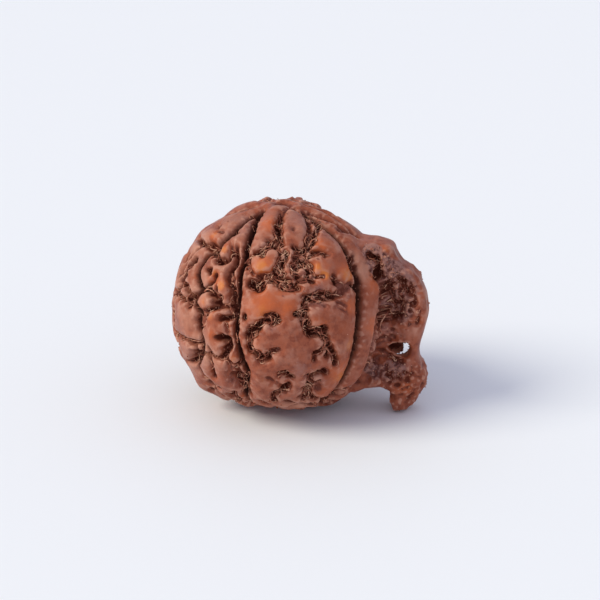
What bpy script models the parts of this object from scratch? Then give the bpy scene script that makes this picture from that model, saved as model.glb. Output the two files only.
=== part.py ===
import random

import bmesh
import bpy
import numpy as np
from mathutils import Matrix, Vector, noise

# All lengths in the tables are millimetres, all angles degrees.
MM = 0.001
BODY_CENTRE = (-2.02, 0.08, 11.15)
BODY_RADIUS = 12.4
BODY_HALF_HEIGHT = 12.15
UNDERSIDE_LIFT = 0.85
UNDERSIDE_REACH = 7.4
UNDERSIDE_FADE = 3.6
CREST_LONGITUDE = 79.0
CREST_BASE = -0.8
CREST_HALF_THICKNESS = 1.8
CREST_EDGE_ROUND = 1.15
BLANK_VOXEL = 0.22
CARVED_VOXEL = 0.2
TRIANGLES = 11800
EDGE_WOBBLE = 0.11
FINE_WOBBLE = 0.06
FLOOR_ROUGHNESS = 0.05
FLAT_FADE_HEIGHT = 0.9
SCATTER_SEED = 5

# Depth of each kind of hollow, and how soft its wall is.
CLEFT_DEPTH = 1.8
CAVITY_DEPTH = 2.3
PIT_DEPTH = 1.6
LOW_DEPTH = 1.25
CREST_PIT_DEPTH = 1.2
CREST_LOW_DEPTH = 0.75
DENT_DEPTH = 0.55
WALL_SOFTNESS = 0.14
LIP_DEPTH = 0.22
LIP_WIDTH = 0.36
VALLEY_DEPTH = 0.3
VALLEY_WIDTH = 1.0

# Bands of scattered hollows: latitude, how many, and the longitudes between which they lie.
SCATTER_BANDS = [
    (-38, 14, -60, 60), (-47, 26, -180, 180), (-56, 20, -180, 180), (-65, 12, -180, 180),
    (50, 9, 100, 228), (60, 7, 100, 232), (69, 5, 100, 232),
]

# Outline of the crest and its trunk: distance from the seed's axis, height.
CREST_OUTLINE = [
    (2.5, 22.9), (4.5, 22.9), (6.0, 22.35), (7.0, 21.4), (7.8, 20.75), (8.5, 20.5), (9.0, 20.6), (9.6, 20.5),
    (10.4, 20.55), (11.1, 20.4), (11.8, 20.3), (12.3, 20.15), (12.6, 19.85), (12.8, 19.2), (13.1, 18.6),
    (13.5, 18.1), (14.3, 17.6), (14.8, 17.25), (15.2, 16.75), (15.5, 16.1), (15.8, 15.4), (16.2, 14.4),
    (16.4, 13.5), (16.5, 12.6), (16.4, 11.7), (16.1, 10.8), (15.85, 9.8), (15.6, 9.0), (15.45, 8.1), (15.5, 7.3),
    (15.7, 6.75), (15.95, 6.4), (16.25, 5.9), (16.4, 5.1), (16.35, 4.4), (16.15, 3.7), (15.85, 3.0),
    (15.65, 2.35), (15.15, 1.65), (14.4, 1.1), (13.6, 0.9), (13.1, 0.85), (12.7, 1.2), (12.35, 1.75), (12.35, 2.3),
    (12.5, 2.7), (12.5, 3.0), (12.25, 3.4), (11.8, 3.65), (11.0, 3.75), (10.4, 3.65), (9.85, 3.5), (9.3, 3.2), (8.7, 3.0),
    (7.5, 2.6), (5.0, 2.5), (2.5, 4.0),
]

# Deep lines from pole to pole between the faces of the stone: longitude, latitude, half-width.
CLEFTS = [
    [(-55, 78, .26), (-41, 69.5, .32), (-31.5, 60, .36), (-28.5, 50, .34), (-26.7, 42, .28), (-26.3, 34, .26),
     (-24.3, 25, .25), (-23.7, 14, .25), (-23.5, 3, .25), (-22.6, -1, .26), (-21, -8, .3), (-18.5, -18, .3),
     (-20.5, -26, .27), (-24, -36, .32), (-25, -48, .3), (-25, -60, .22)],
    [(62, 76, .28), (54.5, 61, .36), (55, 55, .36), (53.5, 46.5, .38), (53.3, 43, .4), (51.2, 37, .42),
     (50.9, 33, .48), (51.9, 27, .55), (49.9, 22, .5), (46.7, 15, .47), (44.7, 7.5, .46), (42.7, 0, .45),
     (41.8, -10, .4), (40.5, -16.5, .38), (39.6, -24, .38), (38.6, -36, .4), (38, -50, .32), (38, -62, .22)],
    [(-58, 76, .22), (-55, 69, .3), (-53, 62.5, .32), (-52, 57, .32), (-52.5, 52, .3), (-56, 46, .3),
     (-58.5, 39, .3), (-60.5, 33, .3), (-60, 29, .3), (-55, 25.5, .34), (-50, 22, .34), (-53, 18, .3),
     (-54, 14.5, .3), (-51, 12, .28), (-48.8, 9.5, .26), (-49.5, 5.5, .26), (-47.5, 1.5, .26), (-45.4, -1.5, .26),
     (-44.9, -5.5, .28), (-46.5, -11, .3), (-51, -16.5, .3), (-54.5, -20.5, .28), (-56, -26, .28),
     (-53.5, -34, .3), (-50, -44, .3), (-49, -52, .28), (-50, -62, .22)],
]
HIDDEN_CLEFTS = [-98, -141, 180, 124]

# Hollows of the broad front face, read as drawn on a globe: longitude 0 faces front, 90 is +X.
FRONT_PITS = [
    [(0, 77, .16), (-1, 71, .3), (-4, 66, .42), (-3, 62, .4), (-2, 58, .36), (-1, 55, .34), (.8, 52.5, .25)],
    [(-11, 54.5, .18), (-5, 55.5, .22), (-1, 55.5, .25)],
    [(-13.5, 47, .14), (-10, 50.3, .14), (-6, 51, .14), (-2.5, 50, .16), (-.5, 47.5, .2), (-1, 45, .18),
     (-2.5, 42, .2), (-4, 39, .25), (-6, 36, .3)],
    [(-17.5, 47.5, .22), (-13.5, 46.7, .2), (-12, 46, .12)],
    [(-23.5, 44.5, .2), (-24.3, 42, .2), (-22.5, 40, .1), (-21.7, 38.5, .16)],
    [(-18.5, 38, .12), (-20.3, 36.8, .12)],
    [(-17, 31, .6), (-13, 30, .75), (-11, 33, .5)],
    [(-7, 33.2, .35), (-4, 33.5, .3)],
    [(20, 36, .2), (20.8, 41, .2)],
    [(8, 33, .25), (12.5, 32.3, .22), (16, 32.8, .2), (20, 31, .12)],
    [(21.5, 34, .14), (26, 33.3, .12)],
    [(36.5, 58.5, .3), (31, 56, .3), (28, 53, .38), (22, 51, .33), (16, 50, .33), (10.5, 51, .25)],
    [(56, 70, .3), (50, 66, .45), (47, 63.5, .38), (52, 61.5, .28)],
    [(-8, 15.3, .2), (-5, 15.8, .28), (-2, 14.4, .35), (-1, 13, .28), (-4, 12, .3), (-7, 13.3, .28),
     (-10.5, 12, .3), (-11.5, 9, .4), (-14, 7, .65), (-16, 4.5, .55), (-15.7, 1, .3), (-15.7, -1, .35),
     (-14.5, -3.7, .35), (-11.5, -5, .4), (-9, -7.5, .5), (-6.5, -7, .35), (-6, -4, .22)],
    [(-19, 14.3, .25), (-18.8, 12.8, .2)],
    [(-1, -17.3, .15), (0, -16, .3), (2.5, -15, .28), (4, -17.2, .3), (6.5, -18.5, .12)],
    [(8, 16.3, .3), (11, 16, .4), (12.5, 13, .5), (13.5, 10.5, .45), (13.5, 7.5, .4), (15.5, 6, .55),
     (20, 6, .55), (22.5, 7, .45), (22.5, 3.5, .5), (24.3, 0, .3), (25, -3, .4), (27, -6, .28),
     (28.2, -10, .3), (29, -12.5, .25)],
    [(23.5, -1.5, .3), (20, -4.5, .2), (17.5, -5, .2), (16.8, -9, .1)],
    [(23.5, -6.5, .35), (25, -5, .3)],
    [(22.5, -15, .25), (24, -17.3, .4), (20, -16.8, .4), (16, -18.5, .35), (16.3, -23, .42), (17, -28, .5),
     (16, -33, .45), (15, -38, .3)],
    [(12.5, -26.5, .22), (14.5, -28, .3)],
    [(19, -34, .2), (18, -37, .2)],
    [(32.5, 32, .3), (33, 29.5, .3)],
    [(46.5, 25, .3), (45.5, 23.5, .2)],
]
FRONT_LOWS = [
    [(-9, 34, .3), (-5, 34, .4), (-1, 33, .65), (3, 31.5, .85), (7, 30.5, .7), (10, 29, .4)],
    [(-3, 37, .4), (1, 38, .6), (2.5, 43, .4), (3.5, 48, .35)],
    [(10.5, 45, .4), (14, 47, .6), (18, 47, .7), (24, 47, .5), (30, 46.5, .25), (34, 44.5, .18)],
    [(9, 41, .5), (14, 43, .7), (18, 41, .5), (18.5, 37, .4), (17, 34.5, .45), (10.5, 35, .45), (8.5, 38, .4)],
    [(-18.5, 46.5, .35), (-16, 48, .4), (-11, 50.3, .42), (-6, 52.5, .5), (-1, 53, .45)],
    [(13, 24.3, .35), (17, 23.5, .5), (22, 24, .62), (27, 23.3, .55), (30.5, 22.5, .35)],
    [(33, 32, .36), (33.3, 29.5, .4)],
    [(13, 22, .35), (13, 18, .42), (11.5, 16, .5), (13, 12, .55)],
]
FRONT_DENTS = [
    [(31, 22.7, .45), (36, 24.5, .6), (41, 26, .5), (45.5, 27, .35)],
    [(33.3, 29.5, .45), (37, 27.5, .6)],
    [(14.2, 62.7, .12), (13.3, 61, .12)],
    [(31.5, 43.5, .12), (35.5, 43.7, .15)],
    [(31, 19.5, .15), (34, 18.5, .2), (37, 16, .16), (36.5, 13, .12)],
    [(31, 17, .12), (34, 15.3, .14), (36, 13.3, .12)],
    [(16, 20, .2), (20, 20, .14), (24, 18.5, .12)],
    [(-1.5, -2, .3), (-4, -2.7, .35)],
    [(-7.5, -18.5, .15), (-5.5, -19.5, .2), (-4, -21, .14)],
    [(-2.2, -21.5, .15), (-.5, -23.5, .2), (.7, -26, .3), (.5, -28, .2)],
    [(3.5, -20.5, .1), (5, -21.5, .1)],
    [(-5, -31.5, .12), (-1.5, -31.8, .12)],
    [(14.5, -16.5, .12), (12.5, -18.5, .12)],
    [(21, -24, .45), (22, -29, .45)],
]

# Hollows of the narrow face left of it and of the next one round.
LEFT_PITS = [
    [(-37, 49, .2), (-35, 46, .28), (-33, 43, .3), (-32, 40, .28), (-33, 36, .24), (-33.5, 32, .18),
     (-31, 28.5, .2), (-28.7, 27, .28), (-28, 24.5, .34), (-27.5, 21, .28), (-26.5, 17.5, .3), (-26, 13, .28),
     (-29, 11.5, .33), (-31.5, 11, .38), (-32.5, 10, .2)],
    [(-29.5, 9, .1), (-28, 6, .1), (-27.5, 3, .1)],
    [(-34, .5, .25), (-31, 1, .45), (-28, -.5, .5), (-27, -4, .45), (-29.5, -5, .4), (-30.5, -8, .3),
     (-31.8, -10, .2)],
    [(-28, -6.5, .2), (-28.6, -10.5, .2), (-26, -13.3, .25), (-23.5, -13.8, .25), (-21.5, -12, .35)],
    [(-28.5, -20, .25), (-27.5, -24, .25), (-25.5, -27.5, .3), (-22, -30, .4), (-21, -34, .4)],
    [(-47.3, 47, .1), (-48, 43.5, .15), (-48, 41, .2), (-45, 38.5, .32), (-41, 38.5, .28), (-38.5, 40, .22),
     (-38, 43, .15)],
    [(-92, 41, .3), (-80, 42, .3), (-70, 42.7, .3), (-64, 45, .25)],
    [(-51.5, 33, .14), (-48.3, 33, .32), (-47, 31.5, .22)],
    [(-41.5, 31.5, .28), (-42, 28, .18)],
    [(-43.3, 24.5, .2), (-41.7, 21.8, .3), (-39, 21, .35), (-35, 21, .42), (-35.5, 18.5, .5), (-38, 18.3, .4),
     (-36.3, 16.3, .22)],
    [(-47.3, 11.5, .2), (-44, 12.3, .28), (-41.5, 13, .33), (-42, 10.5, .2), (-43.5, 8, .2), (-43, 2, .12)],
    [(-75, 21.5, .2), (-68, 20, .33), (-62.5, 19, .4), (-60, 17.5, .38), (-59, 14.5, .35), (-57, 12, .3)],
    [(-90, 10.5, .22), (-80, 12, .2), (-74, 14.3, .18), (-67, 13.5, .24), (-62.5, 13, .25)],
    [(-80, 33, .17), (-80, 30, .15)],
    [(-60, -7.5, .2), (-57, -8.5, .3), (-54, -8.3, .4), (-51.5, -11, .42), (-51.5, -14.5, .4),
     (-55, -14.5, .4), (-58.5, -19, .3)],
    [(-40.5, -10.5, .18), (-39.2, -14.5, .2), (-40, -17.5, .2)],
    [(-49, -31.5, .45), (-45, -33.5, .4), (-41, -33, .15)],
    [(-62.5, 13, .25), (-58, 15.9, .26), (-54, 18, .26)],
    [(-80, -9.5, .2), (-70.5, -8.8, .24), (-61.6, -7.7, .26), (-54.3, -6.8, .26), (-46, -6.5, .26)],
    [(-66, -23, .2), (-60, -21.5, .26), (-52, -16.8, .3)],
    [(-49.3, 22.2, .26), (-45.3, 24, .26), (-42.5, 27.6, .22)],
    [(-41.5, 13.3, .3), (-39, 15, .28), (-35.5, 16.3, .28), (-31, 17.3, .25), (-27.7, 17.8, .25)],
    [(-40.3, -6.5, .16), (-36.2, -10.7, .26), (-32, -10.6, .28), (-29.7, -8.2, .28)],
    [(-43.8, -11.3, .2), (-40.5, -12.8, .24), (-39.9, -16.7, .26), (-40.8, -24.6, .26)],
]
LEFT_LOWS = [
    [(-24.5, -17, .5), (-24, -21, .65), (-22.5, -25, .5)],
    [(-64, 45.5, .3), (-60, 45.5, .45), (-55, 44, .55), (-51, 43, .45), (-53, 41, .45)],
]
LEFT_DENTS = [
    [(-72, 55, .22), (-70, 54, .15)],
    [(-66, 53, .15), (-62, 54, .2)],
    [(-45, 57.8, .13), (-47.5, 56.3, .15)],
    [(-43, 50, .1), (-40, 46, .14)],
    [(-46, 9, .4), (-45.5, 4, .4)],
]

# Hollows of the flank between the right-hand cleft and the crest.
FLANK_PITS = [
    [(57, 39.5, .25), (54, 37.5, .28)],
    [(55, 34.2, .25), (53.4, 32, .25)],
    [(67, 40, .2), (71, 38, .3), (75, 36, .35), (78, 33, .3)],
    [(57.5, 5, .25), (57, 2, .3), (58.5, -.5, .18)],
    [(64, 4, .3), (67, 2.5, .3), (70, 4, .3)],
    [(58, -9.5, .2), (58.5, -13, .2)],
    [(59, -17, .15), (57, -24, .16), (55, -30, .15)],
]
FLANK_DENTS = [
    [(66, 55, .3), (70, 52, .25)],
    [(100, 78, .18), (88, 66, .28), (81, 56, .3), (76, 48, .2)],
    [(70, 33, .3), (71.5, 22, .35), (70, 12, .38), (67, 4, .35), (61.5, -5, .3), (59.5, -14, .3)],
]

# Small islands that stand in the hollows, and the height of their tops.
KNOBS = [
    ([(-17.3, 42.3, .62), (-15, 40.2, .75), (-10.5, 40.5, .78), (-7, 43.5, .72), (-6, 47.2, .68)], .12),
    ([(4.3, 42.5, .15), (4.2, 38.7, .42)], -.1),
    ([(13.5, 37, .35), (14, 34.7, .25)], -.2),
    ([(.2, 31.7, .14)], -.35),
    ([(19, 33.8, .18)], -.3),
    ([(33, 31.8, .16)], -.3),
    ([(-24.8, -5, .25), (-24.6, -9, .55)], .1),
    ([(-47.5, 49, .4), (-45, 45, .5), (-44, 42.8, .4)], .12),
    ([(-38, 33, .25), (-36, 28.5, .55), (-34.5, 25.5, .5)], .12),
    ([(-8.5, -7.7, .1), (-8, -9.3, .1)], -.3),
    ([(-.5, -17, .12), (2.2, -14.7, .12)], -.3),
]

# Hollows of the crest's broad sides: distance from the axis, height, half-width.
CREST_PITS = [
    [(9.9, 20.8, .2), (10.4, 20.6, .3), (10.7, 20.3, .2)],
    [(10.0, 19.6, .25), (10.3, 19.1, .3), (10.8, 18.9, .3), (11.2, 18.6, .32), (11.3, 18.1, .35),
     (11.05, 17.7, .3), (11.2, 17.1, .22), (11.2, 16.8, .14)],
    [(13.5, 16.7, .22), (13.9, 16.3, .26), (13.8, 15.7, .24), (14.2, 15.2, .22), (14.2, 14.7, .18)],
    [(14.8, 16.7, .18), (14.8, 16.0, .2)],
    [(12.2, 16.0, .2), (12.4, 15.3, .32), (12.6, 14.7, .34), (12.3, 14.0, .32), (12.6, 13.4, .34),
     (12.6, 12.9, .28)],
    [(13.2, 14.0, .15), (13.2, 13.5, .25), (13.8, 13.3, .15)],
    [(10.6, 12.3, .3), (10.7, 11.7, .22)],
    [(11.5, 11.5, .32), (12.3, 11.7, .36), (13.2, 12.1, .32), (13.9, 12.5, .26), (14.3, 12.2, .16),
     (14.45, 11.5, .12)],
    [(15.6, 13.4, .12), (15.75, 12.9, .13)],
    [(15.45, 11.6, .18), (15.6, 12.3, .14)],
]
CREST_CAVITY = [(12.0, 8.45, .2), (12.6, 8.4, .4), (13.4, 8.35, .65), (14.1, 8.3, .75)]
CREST_LOWS = [
    [(12.4, 15.6, .5), (12.6, 14.4, .7), (12.9, 13.2, .6)],
    [(13.8, 16.2, .55), (13.9, 15.2, .8), (13.8, 14.0, .8), (13.6, 13.0, .6)],
    [(14.7, 16.4, .35), (14.9, 15.0, .5), (15.0, 14.0, .5), (14.6, 13.2, .4)],
    [(11.3, 11.9, .35), (12.3, 12.1, .45), (13.3, 12.3, .4)],
    [(11.0, 8.2, .3), (12.0, 7.8, .42), (13.0, 7.4, .42), (13.7, 7.2, .3)],
]
CREST_DENTS = [
    [(11.7, 19.15, .14), (11.8, 19.5, .1)],
    [(12.7, 18.5, .15), (12.9, 18.0, .12), (13.4, 17.6, .14)],
    [(10.6, 6.6, .16), (10.3, 6.0, .15), (9.9, 5.2, .15), (9.4, 4.5, .15)],
    [(10.1, 4.6, .25), (10.0, 4.4, .2)],
    [(12.0, 5.2, .15), (12.3, 4.9, .2), (12.6, 4.7, .2)],
    [(13.5, 4.4, .2), (13.9, 4.8, .14)],
    [(15.4, 5.6, .2), (15.9, 5.4, .15)],
    [(14.6, 2.9, .2), (15.2, 3.2, .16)],
]
CREST_KNOBS = [
    ([(13.8, 14.9, .14)], -.3),
    ([(14.8, 14.3, .24)], -.25),
    ([(15.1, 13.2, .2)], -.25),
    ([(14.2, 13.4, .2)], -.25),
]

# Where the crest's sides are coarse: distance from the axis, height, radius.
CREST_COARSE = [
    (11.2, 18.2, 1.6), (13.4, 15.6, 2.2), (13.6, 12.9, 2.0), (12.4, 10.2, 1.5), (12.2, 6.2, 1.9), (14.2, 5.2, 2.0),
]

# Long smooth ribs that stand above the rest: longitude, latitude, half-width.
RIBS = [
    [(64, 37, .35), (62.7, 33.5, .65), (61.3, 30, .9), (59.8, 25, 1.08), (58, 20, 1.17), (56, 16.5, 1.14),
     (54, 13, 1.08), (51.3, 7, .95), (49.3, 0, .88), (47.9, -7.6, .85), (46.7, -16, .85), (46, -26, .8),
     (45, -35, .75)],
    [(-71, 38, .5), (-69, 30, .6), (-67, 24, .45)],
]
RIB_RISE = 0.34

# The broad hollow ground between the long rib and the crest: longitude, latitude, half-width.
FLANK_VALLEY = [
    [(73, 34, .7), (73, 26, .9), (71, 18, 1.0), (66, 12, 1.0), (62, 6, 1.0), (60, 0, 1.0), (58.5, -8, 1.0),
     (58, -16, 1.0), (57.5, -26, .9), (57, -36, .8)],
    [(74, 8, 1.2), (72, 0, 1.3), (70, -10, 1.3), (66, -20, 1.1)],
]
FLANK_DROP = 0.85

# Dents along the crest's outer edge: distance from the axis, height, half-width.
CREST_RIM = [
    [(16.5, 13.6, .15), (16.4, 11.9, .2)],
    [(15.0, 18.0, .2), (15.6, 16.9, .16)],
    [(13.0, 20.0, .15), (13.4, 19.2, .2)],
    [(16.6, 6.4, .2), (16.85, 5.4, .22)],
    [(16.4, 4.2, .25), (15.7, 2.8, .18)],
]

# Broad lumps on the outline: longitude, latitude, radius, rise.
LUMPS = [
    (-124, 56, 1.5, -.1), (-146, 69, 1.5, .45), (177, 71, .9, -1.6), (157, 71, 1.2, .95), (113, 47, 2.2, -.8),
    (-17, 80, .8, .35), (18, 79, .9, .35), (-90, 46, 1.8, .1), (-93, 18, 1.6, -.1), (-88, -5, 2.0, -.2),
    (-83, -20, 1.8, .3), (-71, -41, 1.6, .5), (-62, -58, 1.6, .2), (-20, 62, 1.8, .2), (16, 62, 1.8, .2),
    (42, 48, 2.0, .25), (30, -6, 2.5, .2), (-66, 50, 2.2, .3), (20, 8, 2.0, -.2),
    (-4, -63, 3.0, -.8), (44, -57, 2.2, .3), (-113, 50, 1.5, -.3),
]

# The small see-through gap beside the trunk: its crescent outline on the crest's front side.
GAP_OUTLINE = [
    (13.95, 9.3), (14.2, 9.38), (14.45, 9.3), (14.6, 9.05), (14.58, 8.7), (14.4, 8.4), (14.05, 8.1), (13.6, 7.98),
    (13.2, 8.05), (13.6, 8.22), (13.88, 8.45), (13.98, 8.75), (13.9, 9.05),
]
GAP_DIRECTION = (0.062, 0.927, -0.368)

CREST_SIDE = Vector((-np.cos(np.radians(CREST_LONGITUDE)), -np.sin(np.radians(CREST_LONGITUDE)), 0.0))
CREST_OUT = Vector((np.sin(np.radians(CREST_LONGITUDE)), -np.cos(np.radians(CREST_LONGITUDE)), 0.0))


def clear_scene():
    for leftover in list(bpy.data.objects):
        bpy.data.objects.remove(leftover, do_unlink=True)


def add_object(name, mesh):
    made = bpy.data.objects.new(name, mesh)
    bpy.context.scene.collection.objects.link(made)
    return made


def apply_modifiers(target):
    graph = bpy.context.evaluated_depsgraph_get()
    result = bpy.data.meshes.new_from_object(target.evaluated_get(graph))
    target.modifiers.clear()
    target.data = result


def combine(target, tool, operation):
    modifier = target.modifiers.new(operation.title(), "BOOLEAN")
    modifier.object = tool
    modifier.operation = operation
    modifier.solver = "EXACT"
    apply_modifiers(target)
    bpy.data.objects.remove(tool, do_unlink=True)


def remake_surface(target, voxel, smoothing):
    """One closed even mesh in place of what is there."""
    remesh = target.modifiers.new("Remesh", "REMESH")
    remesh.mode = "VOXEL"
    remesh.voxel_size = voxel * MM
    smooth = target.modifiers.new("Smooth", "SMOOTH")
    smooth.factor = 0.5
    smooth.iterations = smoothing
    apply_modifiers(target)


def body_blank():
    shape = bmesh.new()
    bmesh.ops.create_icosphere(shape, subdivisions=6, radius=1.0)
    size = Vector((BODY_RADIUS, BODY_RADIUS, BODY_HALF_HEIGHT)) * MM
    bmesh.ops.scale(shape, vec=size, verts=shape.verts)
    bmesh.ops.translate(shape, vec=Vector(BODY_CENTRE) * MM, verts=shape.verts)
    for vertex in shape.verts:
        vertex.co = Vector(pressed_flatter(np.array(vertex.co) / MM)) * MM
    mesh = bpy.data.meshes.new("body")
    shape.to_mesh(mesh)
    shape.free()
    return add_object("body", mesh)


def crest_frame():
    """Turns a drawing of distance and height into the crest's standing plane."""
    columns = (CREST_OUT, Vector((0.0, 0.0, 1.0)), CREST_SIDE)
    frame = Matrix([[column[row] for column in columns] for row in range(3)]).to_4x4()
    frame.translation = Vector((BODY_CENTRE[0], BODY_CENTRE[1], CREST_BASE)) * MM
    return frame


def outline_solid(name, outline, half_thickness, edge_round):
    """A flat outline given thickness and rounded edges by a filled curve."""
    curve = bpy.data.curves.new(name, "CURVE")
    curve.dimensions = "2D"
    curve.fill_mode = "BOTH"
    curve.extrude = (half_thickness - edge_round) * MM
    curve.bevel_depth = edge_round * MM
    curve.offset = -edge_round * MM
    curve.bevel_resolution = 4
    spline = curve.splines.new("POLY")
    spline.points.add(len(outline) - 1)
    spline.use_cyclic_u = True
    for point, (across, up) in zip(spline.points, outline):
        point.co = (across * MM, up * MM, 0.0, 1.0)
    solid = add_object(name, curve)
    graph = bpy.context.evaluated_depsgraph_get()
    mesh = bpy.data.meshes.new_from_object(solid.evaluated_get(graph))
    bpy.data.objects.remove(solid, do_unlink=True)
    shape = bmesh.new()
    shape.from_mesh(mesh)
    bmesh.ops.remove_doubles(shape, verts=shape.verts, dist=0.001 * MM)
    bmesh.ops.recalc_face_normals(shape, faces=shape.faces)
    shape.to_mesh(mesh)
    shape.free()
    return add_object(name, mesh)


def crest_swell(reach, height):
    """The crest is thicker where it leaves the body and down its trunk."""
    root = np.clip((13.8 - reach) / 3.4, 0.0, 1.0)
    low = np.clip((17.5 - height) / 3.0, 0.0, 1.0)
    trunk = np.clip((7.5 - height) / 2.5, 0.0, 1.0) * np.clip((reach - 11.5) / 1.5, 0.0, 1.0)
    return 1.0 + root * (0.35 + 0.5 * low) + 0.15 * trunk


def crest_blank():
    crest = outline_solid("crest", CREST_OUTLINE, CREST_HALF_THICKNESS, CREST_EDGE_ROUND)
    for vertex in crest.data.vertices:
        vertex.co.z *= crest_swell(vertex.co.x / MM, vertex.co.y / MM)
    crest.data.transform(crest_frame())
    return crest


def smooth_blank():
    blank = body_blank()
    combine(blank, crest_blank(), "UNION")
    remake_surface(blank, BLANK_VOXEL, 12)
    return blank


def pressed_flatter(points):
    """Points of the round ball moved to where its flatter underside is."""
    across = np.hypot(points[..., 0] - BODY_CENTRE[0], points[..., 1] - BODY_CENTRE[1])
    share = np.clip((UNDERSIDE_REACH - across) / UNDERSIDE_FADE, 0.0, 1.0)
    lift = UNDERSIDE_LIFT * share * share * (3.0 - 2.0 * share)
    points[..., 2] += np.where(points[..., 2] < BODY_CENTRE[2], lift, 0.0)
    return points


def on_body(longitude, latitude):
    turn = np.radians(longitude)
    rise = np.radians(latitude)
    direction = np.array([np.cos(rise) * np.sin(turn), -np.cos(rise) * np.cos(turn), np.sin(rise)])
    axes = np.array([BODY_RADIUS, BODY_RADIUS, BODY_HALF_HEIGHT])
    return pressed_flatter(np.array(BODY_CENTRE) + direction / np.linalg.norm(direction / axes))


def on_crest(reach, height, side):
    base = np.array([BODY_CENTRE[0], BODY_CENTRE[1], height + CREST_BASE])
    offset = side * CREST_HALF_THICKNESS * crest_swell(reach, height)
    return base + reach * np.array(CREST_OUT) + offset * np.array(CREST_SIDE)


def body_strokes(strokes):
    return [[(on_body(lon, lat), width) for lon, lat, width in stroke] for stroke in strokes]


def crest_strokes(strokes):
    front = [[(on_crest(reach, up, 1), width) for reach, up, width in stroke] for stroke in strokes]
    back = [[(on_crest(reach, 24.6 - up, -1), width) for reach, up, width in stroke] for stroke in strokes]
    return front + [stroke for stroke in back if all(3.7 < point[2] < 19.7 for point, _ in stroke)]


def moved_face(strokes, start, end, low, high, upside_down, sideways):
    """The same kind of hollows on another face: the front face's drawing turned over and squeezed to fit."""
    moved = []
    for stroke in strokes:
        path = []
        for lon, lat, width in stroke:
            across = (lon - start) / (end - start)
            across = 1.0 - across if sideways else across
            lat = -lat if upside_down else lat
            path.append((low + across * (high - low), lat, width))
        if all(abs(lat) < 72 for _, lat, _ in path):
            moved.append(path)
    return moved


def scattered_hollows():
    """Short winding hollows where no drawing reaches: under the stone and over the far side of its top."""
    draw = random.Random(SCATTER_SEED)
    strokes = []
    for latitude, count, first, last in SCATTER_BANDS:
        for index in range(count):
            lon = first + (last - first) * (index + draw.uniform(0.2, 0.8)) / count
            lat = latitude + draw.uniform(-4.0, 4.0)
            heading = draw.uniform(0.0, 2.0 * np.pi)
            path = []
            for _ in range(draw.randint(2, 5)):
                path.append((lon, lat, draw.uniform(0.16, 0.42)))
                heading += draw.uniform(-1.0, 1.0)
                lon += 4.2 * np.cos(heading) / np.cos(np.radians(lat))
                lat += 4.2 * np.sin(heading)
            strokes.append(path)
    return strokes


def hidden_faces(front, left):
    """Every hollow round the sides that the front view does not show."""
    return (
        moved_face(front, -25, 44, 180, 219, True, False)
        + moved_face(front, -25, 44, 124, 180, False, True)
        + moved_face(front, -25, 44, -141, -98, True, True)
        + moved_face(left, -52, -25, -98, -72, True, False)
        + moved_face(left, -52, -25, 94, 124, True, True)
    )


def signed_distance(points, strokes):
    """Distance to the nearest stroke's edge, negative inside it. A stroke is a chain of round-ended bars."""
    nearest = np.full(len(points), 9.0)
    for stroke in strokes:
        ends = list(zip(stroke, stroke[1:] or stroke))
        for (start, start_width), (end, end_width) in ends:
            middle = (start + end) / 2
            reach = np.linalg.norm(end - start) / 2 + 3.0
            close = np.nonzero((np.abs(points - middle) < reach).all(axis=1))[0]
            along = end - start
            offset = points[close] - start
            share = np.clip(offset @ along / max(along @ along, 1e-9), 0.0, 1.0)
            gap = np.linalg.norm(offset - share[:, None] * along, axis=1)
            gap -= start_width + share * (end_width - start_width)
            nearest[close] = np.minimum(nearest[close], gap)
    return nearest


def noise_field(points, size, seed):
    shift = Vector((seed * 7.31, seed * 3.17, seed * 5.77))
    return np.array([noise.noise(Vector(point) / size + shift) for point in points])


def step(value):
    return 1.0 / (1.0 + np.exp(-np.clip(value, -30.0, 30.0)))


def hollow(distance, depth):
    """Height change across a hollow's edge: flat outside, a rounded lip, then a steep wall."""
    wall = -depth * step(-(distance + 0.07) / WALL_SOFTNESS)
    return wall - LIP_DEPTH * np.exp(-np.maximum(distance, 0.0) / LIP_WIDTH)


def wavy_meridian(longitude, seed):
    """A cleft from pole to pole that strays a little from its meridian."""
    path = []
    for latitude in range(76, -64, -7):
        stray = 3.0 * noise.noise(Vector((latitude * 0.05, seed, 0.0)))
        width = 0.22 + 0.08 * noise.noise(Vector((latitude * 0.09, seed, 4.0)))
        path.append((longitude + stray / np.cos(np.radians(latitude * 0.8)), latitude, width))
    return path


def roughness_share(points):
    """How coarse the skin is at each point: the crest's broad sides, and not its worn outer edge."""
    share = np.zeros(len(points))
    for reach, up, radius in CREST_COARSE:
        for side in (1, -1):
            distance = np.linalg.norm(points - on_crest(reach, up, side), axis=1)
            share = np.maximum(share, np.exp(-((distance / radius) ** 4)))
    return share


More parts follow.
